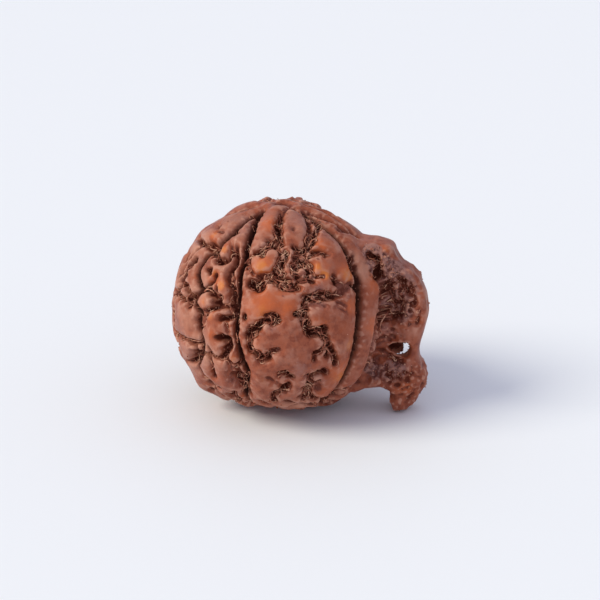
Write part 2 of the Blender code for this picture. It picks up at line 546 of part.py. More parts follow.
def relief(points):
    """How far each point of the smooth blank moves in or out along its normal."""
    clefts = body_strokes(CLEFTS + [wavy_meridian(lon, seed) for seed, lon in enumerate(HIDDEN_CLEFTS)])
    pits = FRONT_PITS + LEFT_PITS + FLANK_PITS + hidden_faces(FRONT_PITS, LEFT_PITS) + scattered_hollows()
    lows = FRONT_LOWS + LEFT_LOWS + hidden_faces(FRONT_LOWS, LEFT_LOWS)
    dents = FRONT_DENTS + LEFT_DENTS + FLANK_DENTS + hidden_faces(FRONT_DENTS, LEFT_DENTS)
    wobble = EDGE_WOBBLE * noise_field(points, 0.9, 1) + FINE_WOBBLE * noise_field(points, 0.4, 8)
    cleft = signed_distance(points, clefts)
    pit = signed_distance(points, body_strokes(pits)) + wobble
    low = signed_distance(points, body_strokes(lows)) + wobble
    crest_pit = signed_distance(points, crest_strokes(CREST_PITS)) + wobble
    crest_low = signed_distance(points, crest_strokes(CREST_LOWS)) + 1.5 * wobble
    rim = [[(on_crest(reach, up, 0), width) for reach, up, width in stroke] for stroke in CREST_RIM]
    dent = signed_distance(points, body_strokes(dents) + crest_strokes(CREST_DENTS) + rim) + 0.6 * wobble
    height = np.minimum(hollow(pit, PIT_DEPTH), hollow(low, LOW_DEPTH))
    height = np.minimum(height, hollow(dent, DENT_DEPTH))
    height = np.minimum(height, hollow(crest_low, CREST_LOW_DEPTH))
    height = np.minimum(height, hollow(crest_pit, CREST_PIT_DEPTH))
    rib = signed_distance(points, body_strokes(RIBS))
    height += RIB_RISE * step(-rib / 0.26)
    valley = signed_distance(points, body_strokes(FLANK_VALLEY))
    height -= FLANK_DROP * step(-valley / 0.35) * step(rib / 0.22)
    for stroke, top in KNOBS:
        inside = -signed_distance(points, body_strokes([stroke])) + wobble
        height += (top - height) * step(inside / 0.09)
    for stroke, top in CREST_KNOBS:
        inside = -signed_distance(points, crest_strokes([stroke])) + wobble
        height += (top - height) * step(inside / 0.09)
    cavity = [[(on_crest(reach, up, 1), width) for reach, up, width in CREST_CAVITY]]
    height = np.minimum(height, hollow(signed_distance(points, cavity) + wobble, CAVITY_DEPTH))
    pole = np.linalg.norm(points - on_body(60, 88.5), axis=1) - 1.0
    height = np.minimum(height, -0.95 * step(-pole / 0.2))
    pole_pit = np.linalg.norm(points - on_body(45, 81.5), axis=1) - 0.35
    height = np.minimum(height, hollow(pole_pit, 1.6))
    height = np.minimum(height, hollow(cleft + 0.5 * wobble, CLEFT_DEPTH))
    height -= VALLEY_DEPTH * np.exp(-((np.maximum(cleft, 0.0) / VALLEY_WIDTH) ** 2))
    depth_share = np.clip(-height / PIT_DEPTH, 0.0, 1.0)
    height += FLOOR_ROUGHNESS * depth_share * noise_field(points, 0.45, 3)
    height += 0.16 * noise_field(points, 2.4, 4)
    for lon, lat, radius, rise in LUMPS:
        height += rise * np.exp(-((np.linalg.norm(points - on_body(lon, lat), axis=1) / radius) ** 2))
    centre = np.array(BODY_CENTRE)
    reach = (points - centre) @ np.array(CREST_OUT)
    trunk = np.clip((6.7 - points[:, 2]) / 1.5, 0.0, 1.0) * np.clip((reach - 11.0) / 1.0, 0.0, 1.0)
    height += trunk * (0.4 * noise_field(points, 1.1, 6) + 0.2 * noise_field(points, 0.45, 7))
    coarse = roughness_share(points)
    height += coarse * (0.6 * noise_field(points, 1.0, 9) + 0.35 * noise_field(points, 0.42, 10))
    under = np.clip((points[:, 2] - 0.15) / FLAT_FADE_HEIGHT, 0.0, 1.0)
    near_axis = reach < 9.0
    return np.where(near_axis, height * under, height)


def carve(blank):
    mesh = blank.data
    points = np.empty(len(mesh.vertices) * 3)
    mesh.vertices.foreach_get("co", points)
    points = points.reshape(-1, 3) / MM
    normals = np.empty(len(mesh.vertices) * 3)
    mesh.vertices.foreach_get("normal", normals)
    points += relief(points)[:, None] * normals.reshape(-1, 3)
    mesh.vertices.foreach_set("co", (points * MM).ravel())
    mesh.update()


def reduce_to(target, triangles):
    target.data.calc_loop_triangles()
    decimate = target.modifiers.new("Decimate", "DECIMATE")
    decimate.ratio = triangles / len(target.data.loop_triangles)
    decimate.use_collapse_triangulate = True
    apply_modifiers(target)


def flatten_foot(target):
    shape = bmesh.new()
    shape.from_mesh(target.data)
    everything = list(shape.verts) + list(shape.edges) + list(shape.faces)
    cut = bmesh.ops.bisect_plane(
        shape, geom=everything, dist=1e-7, plane_co=(0.0, 0.0, 0.0), plane_no=(0.0, 0.0, -1.0), clear_outer=True
    )
    rim = [item for item in cut["geom_cut"] if isinstance(item, bmesh.types.BMEdge)]
    bmesh.ops.holes_fill(shape, edges=rim, sides=0)
    bmesh.ops.triangulate(shape, faces=[face for face in shape.faces if len(face.verts) > 3])
    shape.to_mesh(target.data)
    shape.free()


def cut_gap(target):
    """The crescent gap runs slantwise through the crest."""
    shape = bmesh.new()
    start = [Vector(on_crest(reach, up, 1)) - 2.5 * Vector(GAP_DIRECTION) for reach, up in GAP_OUTLINE]
    ring = [shape.verts.new(point * MM) for point in start]
    face = shape.faces.new(ring)
    far = bmesh.ops.extrude_face_region(shape, geom=[face])
    moved = [item for item in far["geom"] if isinstance(item, bmesh.types.BMVert)]
    bmesh.ops.translate(shape, vec=Vector(GAP_DIRECTION) * 9.0 * MM, verts=moved)
    bmesh.ops.recalc_face_normals(shape, faces=shape.faces)
    mesh = bpy.data.meshes.new("gap")
    shape.to_mesh(mesh)
    shape.free()
    combine(target, add_object("gap", mesh), "DIFFERENCE")


def husk_material():
    material = bpy.data.materials.new("husk")
    material.use_nodes = True
    surface = material.node_tree.nodes["Principled BSDF"]
    surface.inputs["Base Color"].default_value = (0.235, 0.085, 0.05, 1.0)
    surface.inputs["Roughness"].default_value = 0.55
    return material


clear_scene()
seed = smooth_blank()
carve(seed)
remake_surface(seed, CARVED_VOXEL, 1)
reduce_to(seed, TRIANGLES)
cut_gap(seed)
flatten_foot(seed)
seed.name = "rudraksha_seed"
seed.data.name = "rudraksha_seed"
seed.data.materials.clear()
seed.data.materials.append(husk_material())
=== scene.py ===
import random

import bmesh
import bpy
import numpy as np
from mathutils import Matrix, Vector, noise
from mathutils.bvhtree import BVHTree
from mathutils.kdtree import KDTree


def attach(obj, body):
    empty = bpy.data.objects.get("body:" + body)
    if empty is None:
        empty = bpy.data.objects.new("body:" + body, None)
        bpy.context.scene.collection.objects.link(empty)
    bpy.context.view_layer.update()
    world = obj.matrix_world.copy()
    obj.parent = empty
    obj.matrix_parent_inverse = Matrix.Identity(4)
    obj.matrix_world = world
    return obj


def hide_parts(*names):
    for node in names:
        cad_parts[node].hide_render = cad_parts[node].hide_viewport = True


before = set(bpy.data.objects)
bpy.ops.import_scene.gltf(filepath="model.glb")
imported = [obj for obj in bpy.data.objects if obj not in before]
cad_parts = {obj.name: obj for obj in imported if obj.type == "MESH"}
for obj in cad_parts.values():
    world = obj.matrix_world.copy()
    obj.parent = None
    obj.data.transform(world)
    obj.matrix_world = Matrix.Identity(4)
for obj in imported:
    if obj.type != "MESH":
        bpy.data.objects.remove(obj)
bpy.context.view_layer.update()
MM = 0.001


# The studio: a plain pale table that runs far back, a large soft lamp low on the left,
# slightly in front, and pale light from all round.
CAMERA_RISE = 20.0
CAMERA_DISTANCE = 185.2
CAMERA_TARGET = Vector((0.0, 0.0, 11.9))
CAMERA_LENS = 100.0
FLOOR_SIDE = 6000.0
FLOOR_COLOUR = (0.85, 0.855, 0.88, 1.0)
SKY_COLOUR = (0.8, 0.84, 1.0, 1.0)
SKY_STRENGTH = 0.72
LAMP_DIRECTION = Vector((1.0, 0.3, -0.85))
LAMP_COLOUR = (1.0, 0.98, 0.82)
LAMP_STRENGTH = 2.3
LAMP_SPREAD = 30.0

rise = np.radians(CAMERA_RISE)
view_direction = Vector((0.0, np.cos(rise), -np.sin(rise)))
bpy.ops.object.select_all(action="DESELECT")
bpy.ops.object.camera_add(
    location=(CAMERA_TARGET - CAMERA_DISTANCE * view_direction) * MM,
    rotation=view_direction.to_track_quat("-Z", "Y").to_euler(),
)
camera = bpy.context.object
camera.name = "camera"
camera.data.lens = CAMERA_LENS
camera.data.sensor_width = 36.0
camera.data.clip_start = 0.01
bpy.context.scene.camera = camera

bpy.ops.object.light_add(
    type="SUN",
    location=-LAMP_DIRECTION * 200.0 * MM,
    rotation=LAMP_DIRECTION.to_track_quat("-Z", "Y").to_euler(),
)
lamp = bpy.context.object
lamp.name = "soft_lamp"
lamp.data.energy = LAMP_STRENGTH
lamp.data.angle = np.radians(LAMP_SPREAD)
lamp.data.color = LAMP_COLOUR

world = bpy.data.worlds.new("studio_air")
bpy.context.scene.world = world
world.use_nodes = True
air = world.node_tree.nodes["Background"]
air.inputs["Color"].default_value = SKY_COLOUR
air.inputs["Strength"].default_value = SKY_STRENGTH
bpy.context.scene.view_settings.view_transform = "Standard"

bpy.ops.mesh.primitive_plane_add(size=FLOOR_SIDE * MM, location=(0.0, 0.0, 0.0))
floor = bpy.context.object
floor.name = "floor"
table_top = bpy.data.materials.new("table_top")
table_top.use_nodes = True
table_surface = table_top.node_tree.nodes["Principled BSDF"]
table_surface.inputs["Base Color"].default_value = FLOOR_COLOUR
table_surface.inputs["Roughness"].default_value = 0.6
table_surface.inputs["Specular IOR Level"].default_value = 0.2
floor.data.materials.append(table_top)


# The stone: one hard, woody body grown round its seed chambers, with a crest along its side that
# ends in a short trunk, cut by clefts from pole to pole and by winding pits. Handling has worn
# its high parts smooth. Lengths in the tables are millimetres, angles degrees.
BODY_CENTRE = (-2.02, 0.08, 11.15)
BODY_RADIUS = 12.4
BODY_HALF_HEIGHT = 12.15
UNDERSIDE_LIFT = 0.85
UNDERSIDE_REACH = 7.4
UNDERSIDE_FADE = 3.6
CREST_LONGITUDE = 79.0
CREST_BASE = -0.8
CREST_HALF_THICKNESS = 1.8
CREST_EDGE_ROUND = 1.15
FAR_CREST_TURN = 24.6
FAR_CREST_HEIGHTS = (3.7, 19.7)
FRONT_FACE = (-25, 44)
LEFT_FACE = (-52, -25)
HIGHEST_MOVED = 72
BLANK_VOXEL = 0.15
CARVED_VOXEL = 0.14
STONE_TRIANGLES = 196000
EDGE_WOBBLE = 0.11
FINE_WOBBLE = 0.06
FRAYED_EDGE = 0.06
BROAD_WAVES = 0.16
FLOOR_ROUGHNESS = 0.34
FLOOR_CRUMBLE = 0.4
FLAT_FADE_HEIGHT = 0.9
TRUNK_TOP = 6.7
TRUNK_REACH = 11.0
TRUNK_LUMPS = 0.4
TRUNK_GRAIN = 0.2
COARSE_LUMPS = 0.6
COARSE_GRAIN = 0.5
COARSE_FINE_GRAIN = 0.4
CLEFT_LATITUDES = (76, -64, -7)
CLEFT_STRAY = 3.0
CLEFT_HALF_WIDTH = 0.22
SCATTER_SEED = 5
SCATTER_STEP = 4.2
SKIN_ROUNDS = 9
CLOSE_BY = 3.0
FAR_OFF = 9.0

# Depth of each kind of hollow, and how soft its wall is.
CLEFT_DEPTH = 1.8
CAVITY_DEPTH = 2.3
PIT_DEPTH = 1.6
LOW_DEPTH = 1.25
CREST_PIT_DEPTH = 1.2
CREST_LOW_DEPTH = 0.75
DENT_DEPTH = 0.55
WALL_SOFTNESS = 0.07
LIP_DEPTH = 0.22
LIP_WIDTH = 0.36
VALLEY_DEPTH = 0.3
VALLEY_WIDTH = 1.0
RIB_SOFTNESS = 0.26
FLANK_SOFTNESS = 0.35
FLANK_RIB_SOFTNESS = 0.22
KNOB_SOFTNESS = 0.09

# The shallow bowl at the pole and the pit beside it: longitude, latitude, radius.
POLE_BOWL = (60, 88.5, 1.0)
POLE_BOWL_DEPTH = 0.95
POLE_BOWL_SOFTNESS = 0.2
POLE_PIT = (45, 81.5, 0.35)

# Bands of scattered hollows: latitude, how many, and the longitudes between which they lie.
SCATTER_BANDS = [
    (-38, 14, -60, 60), (-47, 26, -180, 180), (-56, 20, -180, 180), (-65, 12, -180, 180),
    (50, 9, 100, 228), (60, 7, 100, 232), (69, 5, 100, 232),
]

# Outline of the crest and its trunk: distance from the seed's axis, height.
CREST_OUTLINE = [
    (2.5, 22.9), (4.5, 22.9), (6.0, 22.35), (7.0, 21.4), (7.8, 20.75), (8.5, 20.5), (9.0, 20.6),
    (9.6, 20.5),
    (10.4, 20.55), (11.1, 20.4), (11.8, 20.3), (12.3, 20.15), (12.6, 19.85), (12.8, 19.2), (13.1, 18.6),
    (13.5, 18.1), (14.3, 17.6), (14.8, 17.25), (15.2, 16.75), (15.5, 16.1), (15.8, 15.4), (16.2, 14.4),
    (16.4, 13.5), (16.5, 12.6), (16.4, 11.7), (16.1, 10.8), (15.85, 9.8), (15.6, 9.0), (15.45, 8.1),
    (15.5, 7.3),
    (15.7, 6.75), (15.95, 6.4), (16.25, 5.9), (16.4, 5.1), (16.35, 4.4), (16.15, 3.7), (15.85, 3.0),
    (15.65, 2.35), (15.15, 1.65), (14.4, 1.1), (13.6, 0.9), (13.1, 0.85), (12.7, 1.2), (12.35, 1.75),
    (12.35, 2.3),
    (12.5, 2.7), (12.5, 3.0), (12.25, 3.4), (11.8, 3.65), (11.0, 3.75), (10.4, 3.65), (9.85, 3.5),
    (9.3, 3.2), (8.7, 3.0),
    (7.5, 2.6), (5.0, 2.5), (2.5, 4.0),
]

# Deep lines from pole to pole between the faces of the stone: longitude, latitude, half-width.
CLEFTS = [
    [(-55, 78, .26), (-41, 69.5, .32), (-31.5, 60, .36), (-28.5, 50, .34), (-26.7, 42, .28),
     (-26.3, 34, .26),
     (-24.3, 25, .25), (-23.7, 14, .25), (-23.5, 3, .25), (-22.6, -1, .26), (-21, -8, .3),
     (-18.5, -18, .3),
     (-20.5, -26, .27), (-24, -36, .32), (-25, -48, .3), (-25, -60, .22)],
    [(62, 76, .28), (54.5, 61, .36), (55, 55, .36), (53.5, 46.5, .38), (53.3, 43, .4), (51.2, 37, .42),
     (50.9, 33, .48), (51.9, 27, .55), (49.9, 22, .5), (46.7, 15, .47), (44.7, 7.5, .46), (42.7, 0, .45),
     (41.8, -10, .4), (40.5, -16.5, .38), (39.6, -24, .38), (38.6, -36, .4), (38, -50, .32),
     (38, -62, .22)],
    [(-58, 76, .22), (-55, 69, .3), (-53, 62.5, .32), (-52, 57, .32), (-52.5, 52, .3), (-56, 46, .3),
     (-58.5, 39, .3), (-60.5, 33, .3), (-60, 29, .3), (-55, 25.5, .34), (-50, 22, .34), (-53, 18, .3),
     (-54, 14.5, .3), (-51, 12, .28), (-48.8, 9.5, .26), (-49.5, 5.5, .26), (-47.5, 1.5, .26),
     (-45.4, -1.5, .26),
     (-44.9, -5.5, .28), (-46.5, -11, .3), (-51, -16.5, .3), (-54.5, -20.5, .28), (-56, -26, .28),
     (-53.5, -34, .3), (-50, -44, .3), (-49, -52, .28), (-50, -62, .22)],
]
HIDDEN_CLEFTS = [-98, -141, 180, 124]

# Hollows of the broad front face, read as drawn on a globe: longitude 0 faces front, 90 is +X.
FRONT_PITS = [
    [(0, 77, .16), (-1, 71, .3), (-4, 66, .42), (-3, 62, .4), (-2, 58, .36), (-1, 55, .34),
     (.8, 52.5, .25)],
    [(-11, 54.5, .18), (-5, 55.5, .22), (-1, 55.5, .25)],
    [(-13.5, 47, .14), (-10, 50.3, .14), (-6, 51, .14), (-2.5, 50, .16), (-.5, 47.5, .2), (-1, 45, .18),
     (-2.5, 42, .2), (-4, 39, .25), (-6, 36, .3)],
    [(-17.5, 47.5, .22), (-13.5, 46.7, .2), (-12, 46, .12)],
    [(-23.5, 44.5, .2), (-24.3, 42, .2), (-22.5, 40, .1), (-21.7, 38.5, .16)],
    [(-18.5, 38, .12), (-20.3, 36.8, .12)],
    [(-17, 31, .6), (-13, 30, .75), (-11, 33, .5)],
    [(-7, 33.2, .35), (-4, 33.5, .3)],
    [(20, 36, .2), (20.8, 41, .2)],
    [(8, 33, .25), (12.5, 32.3, .22), (16, 32.8, .2), (20, 31, .12)],
    [(21.5, 34, .14), (26, 33.3, .12)],
    [(36.5, 58.5, .3), (31, 56, .3), (28, 53, .38), (22, 51, .33), (16, 50, .33), (10.5, 51, .25)],
    [(56, 70, .3), (50, 66, .45), (47, 63.5, .38), (52, 61.5, .28)],
    [(-8, 15.3, .2), (-5, 15.8, .28), (-2, 14.4, .35), (-1, 13, .28), (-4, 12, .3), (-7, 13.3, .28),
     (-10.5, 12, .3), (-11.5, 9, .4), (-14, 7, .65), (-16, 4.5, .55), (-15.7, 1, .3), (-15.7, -1, .35),
     (-14.5, -3.7, .35), (-11.5, -5, .4), (-9, -7.5, .5), (-6.5, -7, .35), (-6, -4, .22)],
    [(-19, 14.3, .25), (-18.8, 12.8, .2)],
    [(-1, -17.3, .15), (0, -16, .3), (2.5, -15, .28), (4, -17.2, .3), (6.5, -18.5, .12)],
    [(8, 16.3, .3), (11, 16, .4), (12.5, 13, .5), (13.5, 10.5, .45), (13.5, 7.5, .4), (15.5, 6, .55),
     (20, 6, .55), (22.5, 7, .45), (22.5, 3.5, .5), (24.3, 0, .3), (25, -3, .4), (27, -6, .28),
     (28.2, -10, .3), (29, -12.5, .25)],
    [(23.5, -1.5, .3), (20, -4.5, .2), (17.5, -5, .2), (16.8, -9, .1)],
    [(23.5, -6.5, .35), (25, -5, .3)],
    [(22.5, -15, .25), (24, -17.3, .4), (20, -16.8, .4), (16, -18.5, .35), (16.3, -23, .42), (17, -28, .5),
     (16, -33, .45), (15, -38, .3)],
    [(12.5, -26.5, .22), (14.5, -28, .3)],
    [(19, -34, .2), (18, -37, .2)],
    [(32.5, 32, .3), (33, 29.5, .3)],
    [(46.5, 25, .3), (45.5, 23.5, .2)],
]
FRONT_LOWS = [
    [(-9, 34, .3), (-5, 34, .4), (-1, 33, .65), (3, 31.5, .85), (7, 30.5, .7), (10, 29, .4)],
    [(-3, 37, .4), (1, 38, .6), (2.5, 43, .4), (3.5, 48, .35)],
    [(10.5, 45, .4), (14, 47, .6), (18, 47, .7), (24, 47, .5), (30, 46.5, .25), (34, 44.5, .18)],
    [(9, 41, .5), (14, 43, .7), (18, 41, .5), (18.5, 37, .4), (17, 34.5, .45), (10.5, 35, .45),
     (8.5, 38, .4)],
    [(-18.5, 46.5, .35), (-16, 48, .4), (-11, 50.3, .42), (-6, 52.5, .5), (-1, 53, .45)],
    [(13, 24.3, .35), (17, 23.5, .5), (22, 24, .62), (27, 23.3, .55), (30.5, 22.5, .35)],
    [(33, 32, .36), (33.3, 29.5, .4)],
    [(13, 22, .35), (13, 18, .42), (11.5, 16, .5), (13, 12, .55)],
]
FRONT_DENTS = [
    [(31, 22.7, .45), (36, 24.5, .6), (41, 26, .5), (45.5, 27, .35)],
    [(33.3, 29.5, .45), (37, 27.5, .6)],
    [(14.2, 62.7, .12), (13.3, 61, .12)],
    [(31.5, 43.5, .12), (35.5, 43.7, .15)],
    [(31, 19.5, .15), (34, 18.5, .2), (37, 16, .16), (36.5, 13, .12)],
    [(31, 17, .12), (34, 15.3, .14), (36, 13.3, .12)],
    [(16, 20, .2), (20, 20, .14), (24, 18.5, .12)],
    [(-1.5, -2, .3), (-4, -2.7, .35)],
    [(-7.5, -18.5, .15), (-5.5, -19.5, .2), (-4, -21, .14)],
    [(-2.2, -21.5, .15), (-.5, -23.5, .2), (.7, -26, .3), (.5, -28, .2)],
    [(3.5, -20.5, .1), (5, -21.5, .1)],
    [(-5, -31.5, .12), (-1.5, -31.8, .12)],
    [(14.5, -16.5, .12), (12.5, -18.5, .12)],
    [(21, -24, .45), (22, -29, .45)],
]

# Hollows of the narrow face left of it and of the next one round.
LEFT_PITS = [
    [(-37, 49, .2), (-35, 46, .28), (-33, 43, .3), (-32, 40, .28), (-33, 36, .24), (-33.5, 32, .18),
     (-31, 28.5, .2), (-28.7, 27, .28), (-28, 24.5, .34), (-27.5, 21, .28), (-26.5, 17.5, .3),
     (-26, 13, .28),
     (-29, 11.5, .33), (-31.5, 11, .38), (-32.5, 10, .2)],
    [(-29.5, 9, .1), (-28, 6, .1), (-27.5, 3, .1)],
    [(-34, .5, .25), (-31, 1, .45), (-28, -.5, .5), (-27, -4, .45), (-29.5, -5, .4), (-30.5, -8, .3),
     (-31.8, -10, .2)],
    [(-28, -6.5, .2), (-28.6, -10.5, .2), (-26, -13.3, .25), (-23.5, -13.8, .25), (-21.5, -12, .35)],
    [(-28.5, -20, .25), (-27.5, -24, .25), (-25.5, -27.5, .3), (-22, -30, .4), (-21, -34, .4)],
    [(-47.3, 47, .1), (-48, 43.5, .15), (-48, 41, .2), (-45, 38.5, .32), (-41, 38.5, .28),
     (-38.5, 40, .22),
     (-38, 43, .15)],
    [(-92, 41, .3), (-80, 42, .3), (-70, 42.7, .3), (-64, 45, .25)],
    [(-51.5, 33, .14), (-48.3, 33, .32), (-47, 31.5, .22)],
    [(-41.5, 31.5, .28), (-42, 28, .18)],
    [(-43.3, 24.5, .2), (-41.7, 21.8, .3), (-39, 21, .35), (-35, 21, .42), (-35.5, 18.5, .5),
     (-38, 18.3, .4),
     (-36.3, 16.3, .22)],
    [(-47.3, 11.5, .2), (-44, 12.3, .28), (-41.5, 13, .33), (-42, 10.5, .2), (-43.5, 8, .2),
     (-43, 2, .12)],
    [(-75, 21.5, .2), (-68, 20, .33), (-62.5, 19, .4), (-60, 17.5, .38), (-59, 14.5, .35), (-57, 12, .3)],
    [(-90, 10.5, .22), (-80, 12, .2), (-74, 14.3, .18), (-67, 13.5, .24), (-62.5, 13, .25)],
    [(-80, 33, .17), (-80, 30, .15)],
    [(-60, -7.5, .2), (-57, -8.5, .3), (-54, -8.3, .4), (-51.5, -11, .42), (-51.5, -14.5, .4),
     (-55, -14.5, .4), (-58.5, -19, .3)],
    [(-40.5, -10.5, .18), (-39.2, -14.5, .2), (-40, -17.5, .2)],
    [(-49, -31.5, .45), (-45, -33.5, .4), (-41, -33, .15)],
    [(-62.5, 13, .25), (-58, 15.9, .26), (-54, 18, .26)],
    [(-80, -9.5, .2), (-70.5, -8.8, .24), (-61.6, -7.7, .26), (-54.3, -6.8, .26), (-46, -6.5, .26)],
    [(-66, -23, .2), (-60, -21.5, .26), (-52, -16.8, .3)],
    [(-49.3, 22.2, .26), (-45.3, 24, .26), (-42.5, 27.6, .22)],
    [(-41.5, 13.3, .3), (-39, 15, .28), (-35.5, 16.3, .28), (-31, 17.3, .25), (-27.7, 17.8, .25)],
    [(-40.3, -6.5, .16), (-36.2, -10.7, .26), (-32, -10.6, .28), (-29.7, -8.2, .28)],
    [(-43.8, -11.3, .2), (-40.5, -12.8, .24), (-39.9, -16.7, .26), (-40.8, -24.6, .26)],
]
LEFT_LOWS = [
    [(-24.5, -17, .5), (-24, -21, .65), (-22.5, -25, .5)],
    [(-64, 45.5, .3), (-60, 45.5, .45), (-55, 44, .55), (-51, 43, .45), (-53, 41, .45)],
]
LEFT_DENTS = [
    [(-72, 55, .22), (-70, 54, .15)],
    [(-66, 53, .15), (-62, 54, .2)],
    [(-45, 57.8, .13), (-47.5, 56.3, .15)],
    [(-43, 50, .1), (-40, 46, .14)],
    [(-46, 9, .4), (-45.5, 4, .4)],
]

# Hollows of the flank between the right-hand cleft and the crest.
FLANK_PITS = [
    [(57, 39.5, .25), (54, 37.5, .28)],
    [(55, 34.2, .25), (53.4, 32, .25)],
    [(67, 40, .2), (71, 38, .3), (75, 36, .35), (78, 33, .3)],
    [(57.5, 5, .25), (57, 2, .3), (58.5, -.5, .18)],
    [(64, 4, .3), (67, 2.5, .3), (70, 4, .3)],
    [(58, -9.5, .2), (58.5, -13, .2)],
    [(59, -17, .15), (57, -24, .16), (55, -30, .15)],
]
FLANK_DENTS = [
    [(66, 55, .3), (70, 52, .25)],
    [(100, 78, .18), (88, 66, .28), (81, 56, .3), (76, 48, .2)],
    [(70, 33, .3), (71.5, 22, .35), (70, 12, .38), (67, 4, .35), (61.5, -5, .3), (59.5, -14, .3)],
]

# Small islands that stand in the hollows, and the height of their tops.
KNOBS = [
    ([(-17.3, 42.3, .62), (-15, 40.2, .75), (-10.5, 40.5, .78), (-7, 43.5, .72), (-6, 47.2, .68)], .12),
    ([(4.3, 42.5, .15), (4.2, 38.7, .42)], -.1),
    ([(13.5, 37, .35), (14, 34.7, .25)], -.2),
    ([(.2, 31.7, .14)], -.35),
    ([(19, 33.8, .18)], -.3),
    ([(33, 31.8, .16)], -.3),
    ([(-24.8, -5, .25), (-24.6, -9, .55)], .1),
    ([(-47.5, 49, .4), (-45, 45, .5), (-44, 42.8, .4)], .12),
    ([(-38, 33, .25), (-36, 28.5, .55), (-34.5, 25.5, .5)], .12),
    ([(-8.5, -7.7, .1), (-8, -9.3, .1)], -.3),
    ([(-.5, -17, .12), (2.2, -14.7, .12)], -.3),
]

# Hollows of the crest's broad sides: distance from the axis, height, half-width.
CREST_PITS = [
    [(9.9, 20.8, .2), (10.4, 20.6, .3), (10.7, 20.3, .2)],
    [(10.0, 19.6, .25), (10.3, 19.1, .3), (10.8, 18.9, .3), (11.2, 18.6, .32), (11.3, 18.1, .35),
     (11.05, 17.7, .3), (11.2, 17.1, .22), (11.2, 16.8, .14)],
    [(13.5, 16.7, .22), (13.9, 16.3, .26), (13.8, 15.7, .24), (14.2, 15.2, .22), (14.2, 14.7, .18)],
    [(14.8, 16.7, .18), (14.8, 16.0, .2)],
    [(12.2, 16.0, .2), (12.4, 15.3, .32), (12.6, 14.7, .34), (12.3, 14.0, .32), (12.6, 13.4, .34),
     (12.6, 12.9, .28)],
    [(13.2, 14.0, .15), (13.2, 13.5, .25), (13.8, 13.3, .15)],
    [(10.6, 12.3, .3), (10.7, 11.7, .22)],
    [(11.5, 11.5, .32), (12.3, 11.7, .36), (13.2, 12.1, .32), (13.9, 12.5, .26), (14.3, 12.2, .16),
     (14.45, 11.5, .12)],
    [(15.6, 13.4, .12), (15.75, 12.9, .13)],
    [(15.45, 11.6, .18), (15.6, 12.3, .14)],
]
CREST_CAVITY = [(12.0, 8.45, .2), (12.6, 8.4, .4), (13.4, 8.35, .65), (14.1, 8.3, .75)]
CREST_LOWS = [
    [(12.4, 15.6, .5), (12.6, 14.4, .7), (12.9, 13.2, .6)],
    [(13.8, 16.2, .55), (13.9, 15.2, .8), (13.8, 14.0, .8), (13.6, 13.0, .6)],
    [(14.7, 16.4, .35), (14.9, 15.0, .5), (15.0, 14.0, .5), (14.6, 13.2, .4)],
    [(11.3, 11.9, .35), (12.3, 12.1, .45), (13.3, 12.3, .4)],
    [(11.0, 8.2, .3), (12.0, 7.8, .42), (13.0, 7.4, .42), (13.7, 7.2, .3)],
]
CREST_DENTS = [
    [(11.7, 19.15, .14), (11.8, 19.5, .1)],
    [(12.7, 18.5, .15), (12.9, 18.0, .12), (13.4, 17.6, .14)],
    [(10.6, 6.6, .16), (10.3, 6.0, .15), (9.9, 5.2, .15), (9.4, 4.5, .15)],
    [(10.1, 4.6, .25), (10.0, 4.4, .2)],
    [(12.0, 5.2, .15), (12.3, 4.9, .2), (12.6, 4.7, .2)],
    [(13.5, 4.4, .2), (13.9, 4.8, .14)],
    [(15.4, 5.6, .2), (15.9, 5.4, .15)],
    [(14.6, 2.9, .2), (15.2, 3.2, .16)],
]
CREST_KNOBS = [
    ([(13.8, 14.9, .14)], -.3),
    ([(14.8, 14.3, .24)], -.25),
    ([(15.1, 13.2, .2)], -.25),
    ([(14.2, 13.4, .2)], -.25),
]

# Where the crest's sides are coarse: distance from the axis, height, radius.
CREST_COARSE = [
    (11.2, 18.2, 1.6), (13.4, 15.6, 2.2), (13.6, 12.9, 2.0), (12.4, 10.2, 1.5), (12.2, 6.2, 1.9),
    (14.2, 5.2, 2.0),
]

# Long smooth ribs that stand above the rest: longitude, latitude, half-width.
RIBS = [
    [(64, 37, .35), (62.7, 33.5, .65), (61.3, 30, .9), (59.8, 25, 1.08), (58, 20, 1.17), (56, 16.5, 1.14),
     (54, 13, 1.08), (51.3, 7, .95), (49.3, 0, .88), (47.9, -7.6, .85), (46.7, -16, .85), (46, -26, .8),
     (45, -35, .75)],
    [(-71, 38, .5), (-69, 30, .6), (-67, 24, .45)],
]
RIB_RISE = 0.34

# The broad hollow ground between the long rib and the crest: longitude, latitude, half-width.
FLANK_VALLEY = [
    [(73, 34, .7), (73, 26, .9), (71, 18, 1.0), (66, 12, 1.0), (62, 6, 1.0), (60, 0, 1.0), (58.5, -8, 1.0),
     (58, -16, 1.0), (57.5, -26, .9), (57, -36, .8)],
    [(74, 8, 1.2), (72, 0, 1.3), (70, -10, 1.3), (66, -20, 1.1)],
]
FLANK_DROP = 0.85

# Dents along the crest's outer edge: distance from the axis, height, half-width.
CREST_RIM = [
    [(16.5, 13.6, .15), (16.4, 11.9, .2)],
    [(15.0, 18.0, .2), (15.6, 16.9, .16)],
    [(13.0, 20.0, .15), (13.4, 19.2, .2)],
    [(16.6, 6.4, .2), (16.85, 5.4, .22)],
    [(16.4, 4.2, .25), (15.7, 2.8, .18)],
]

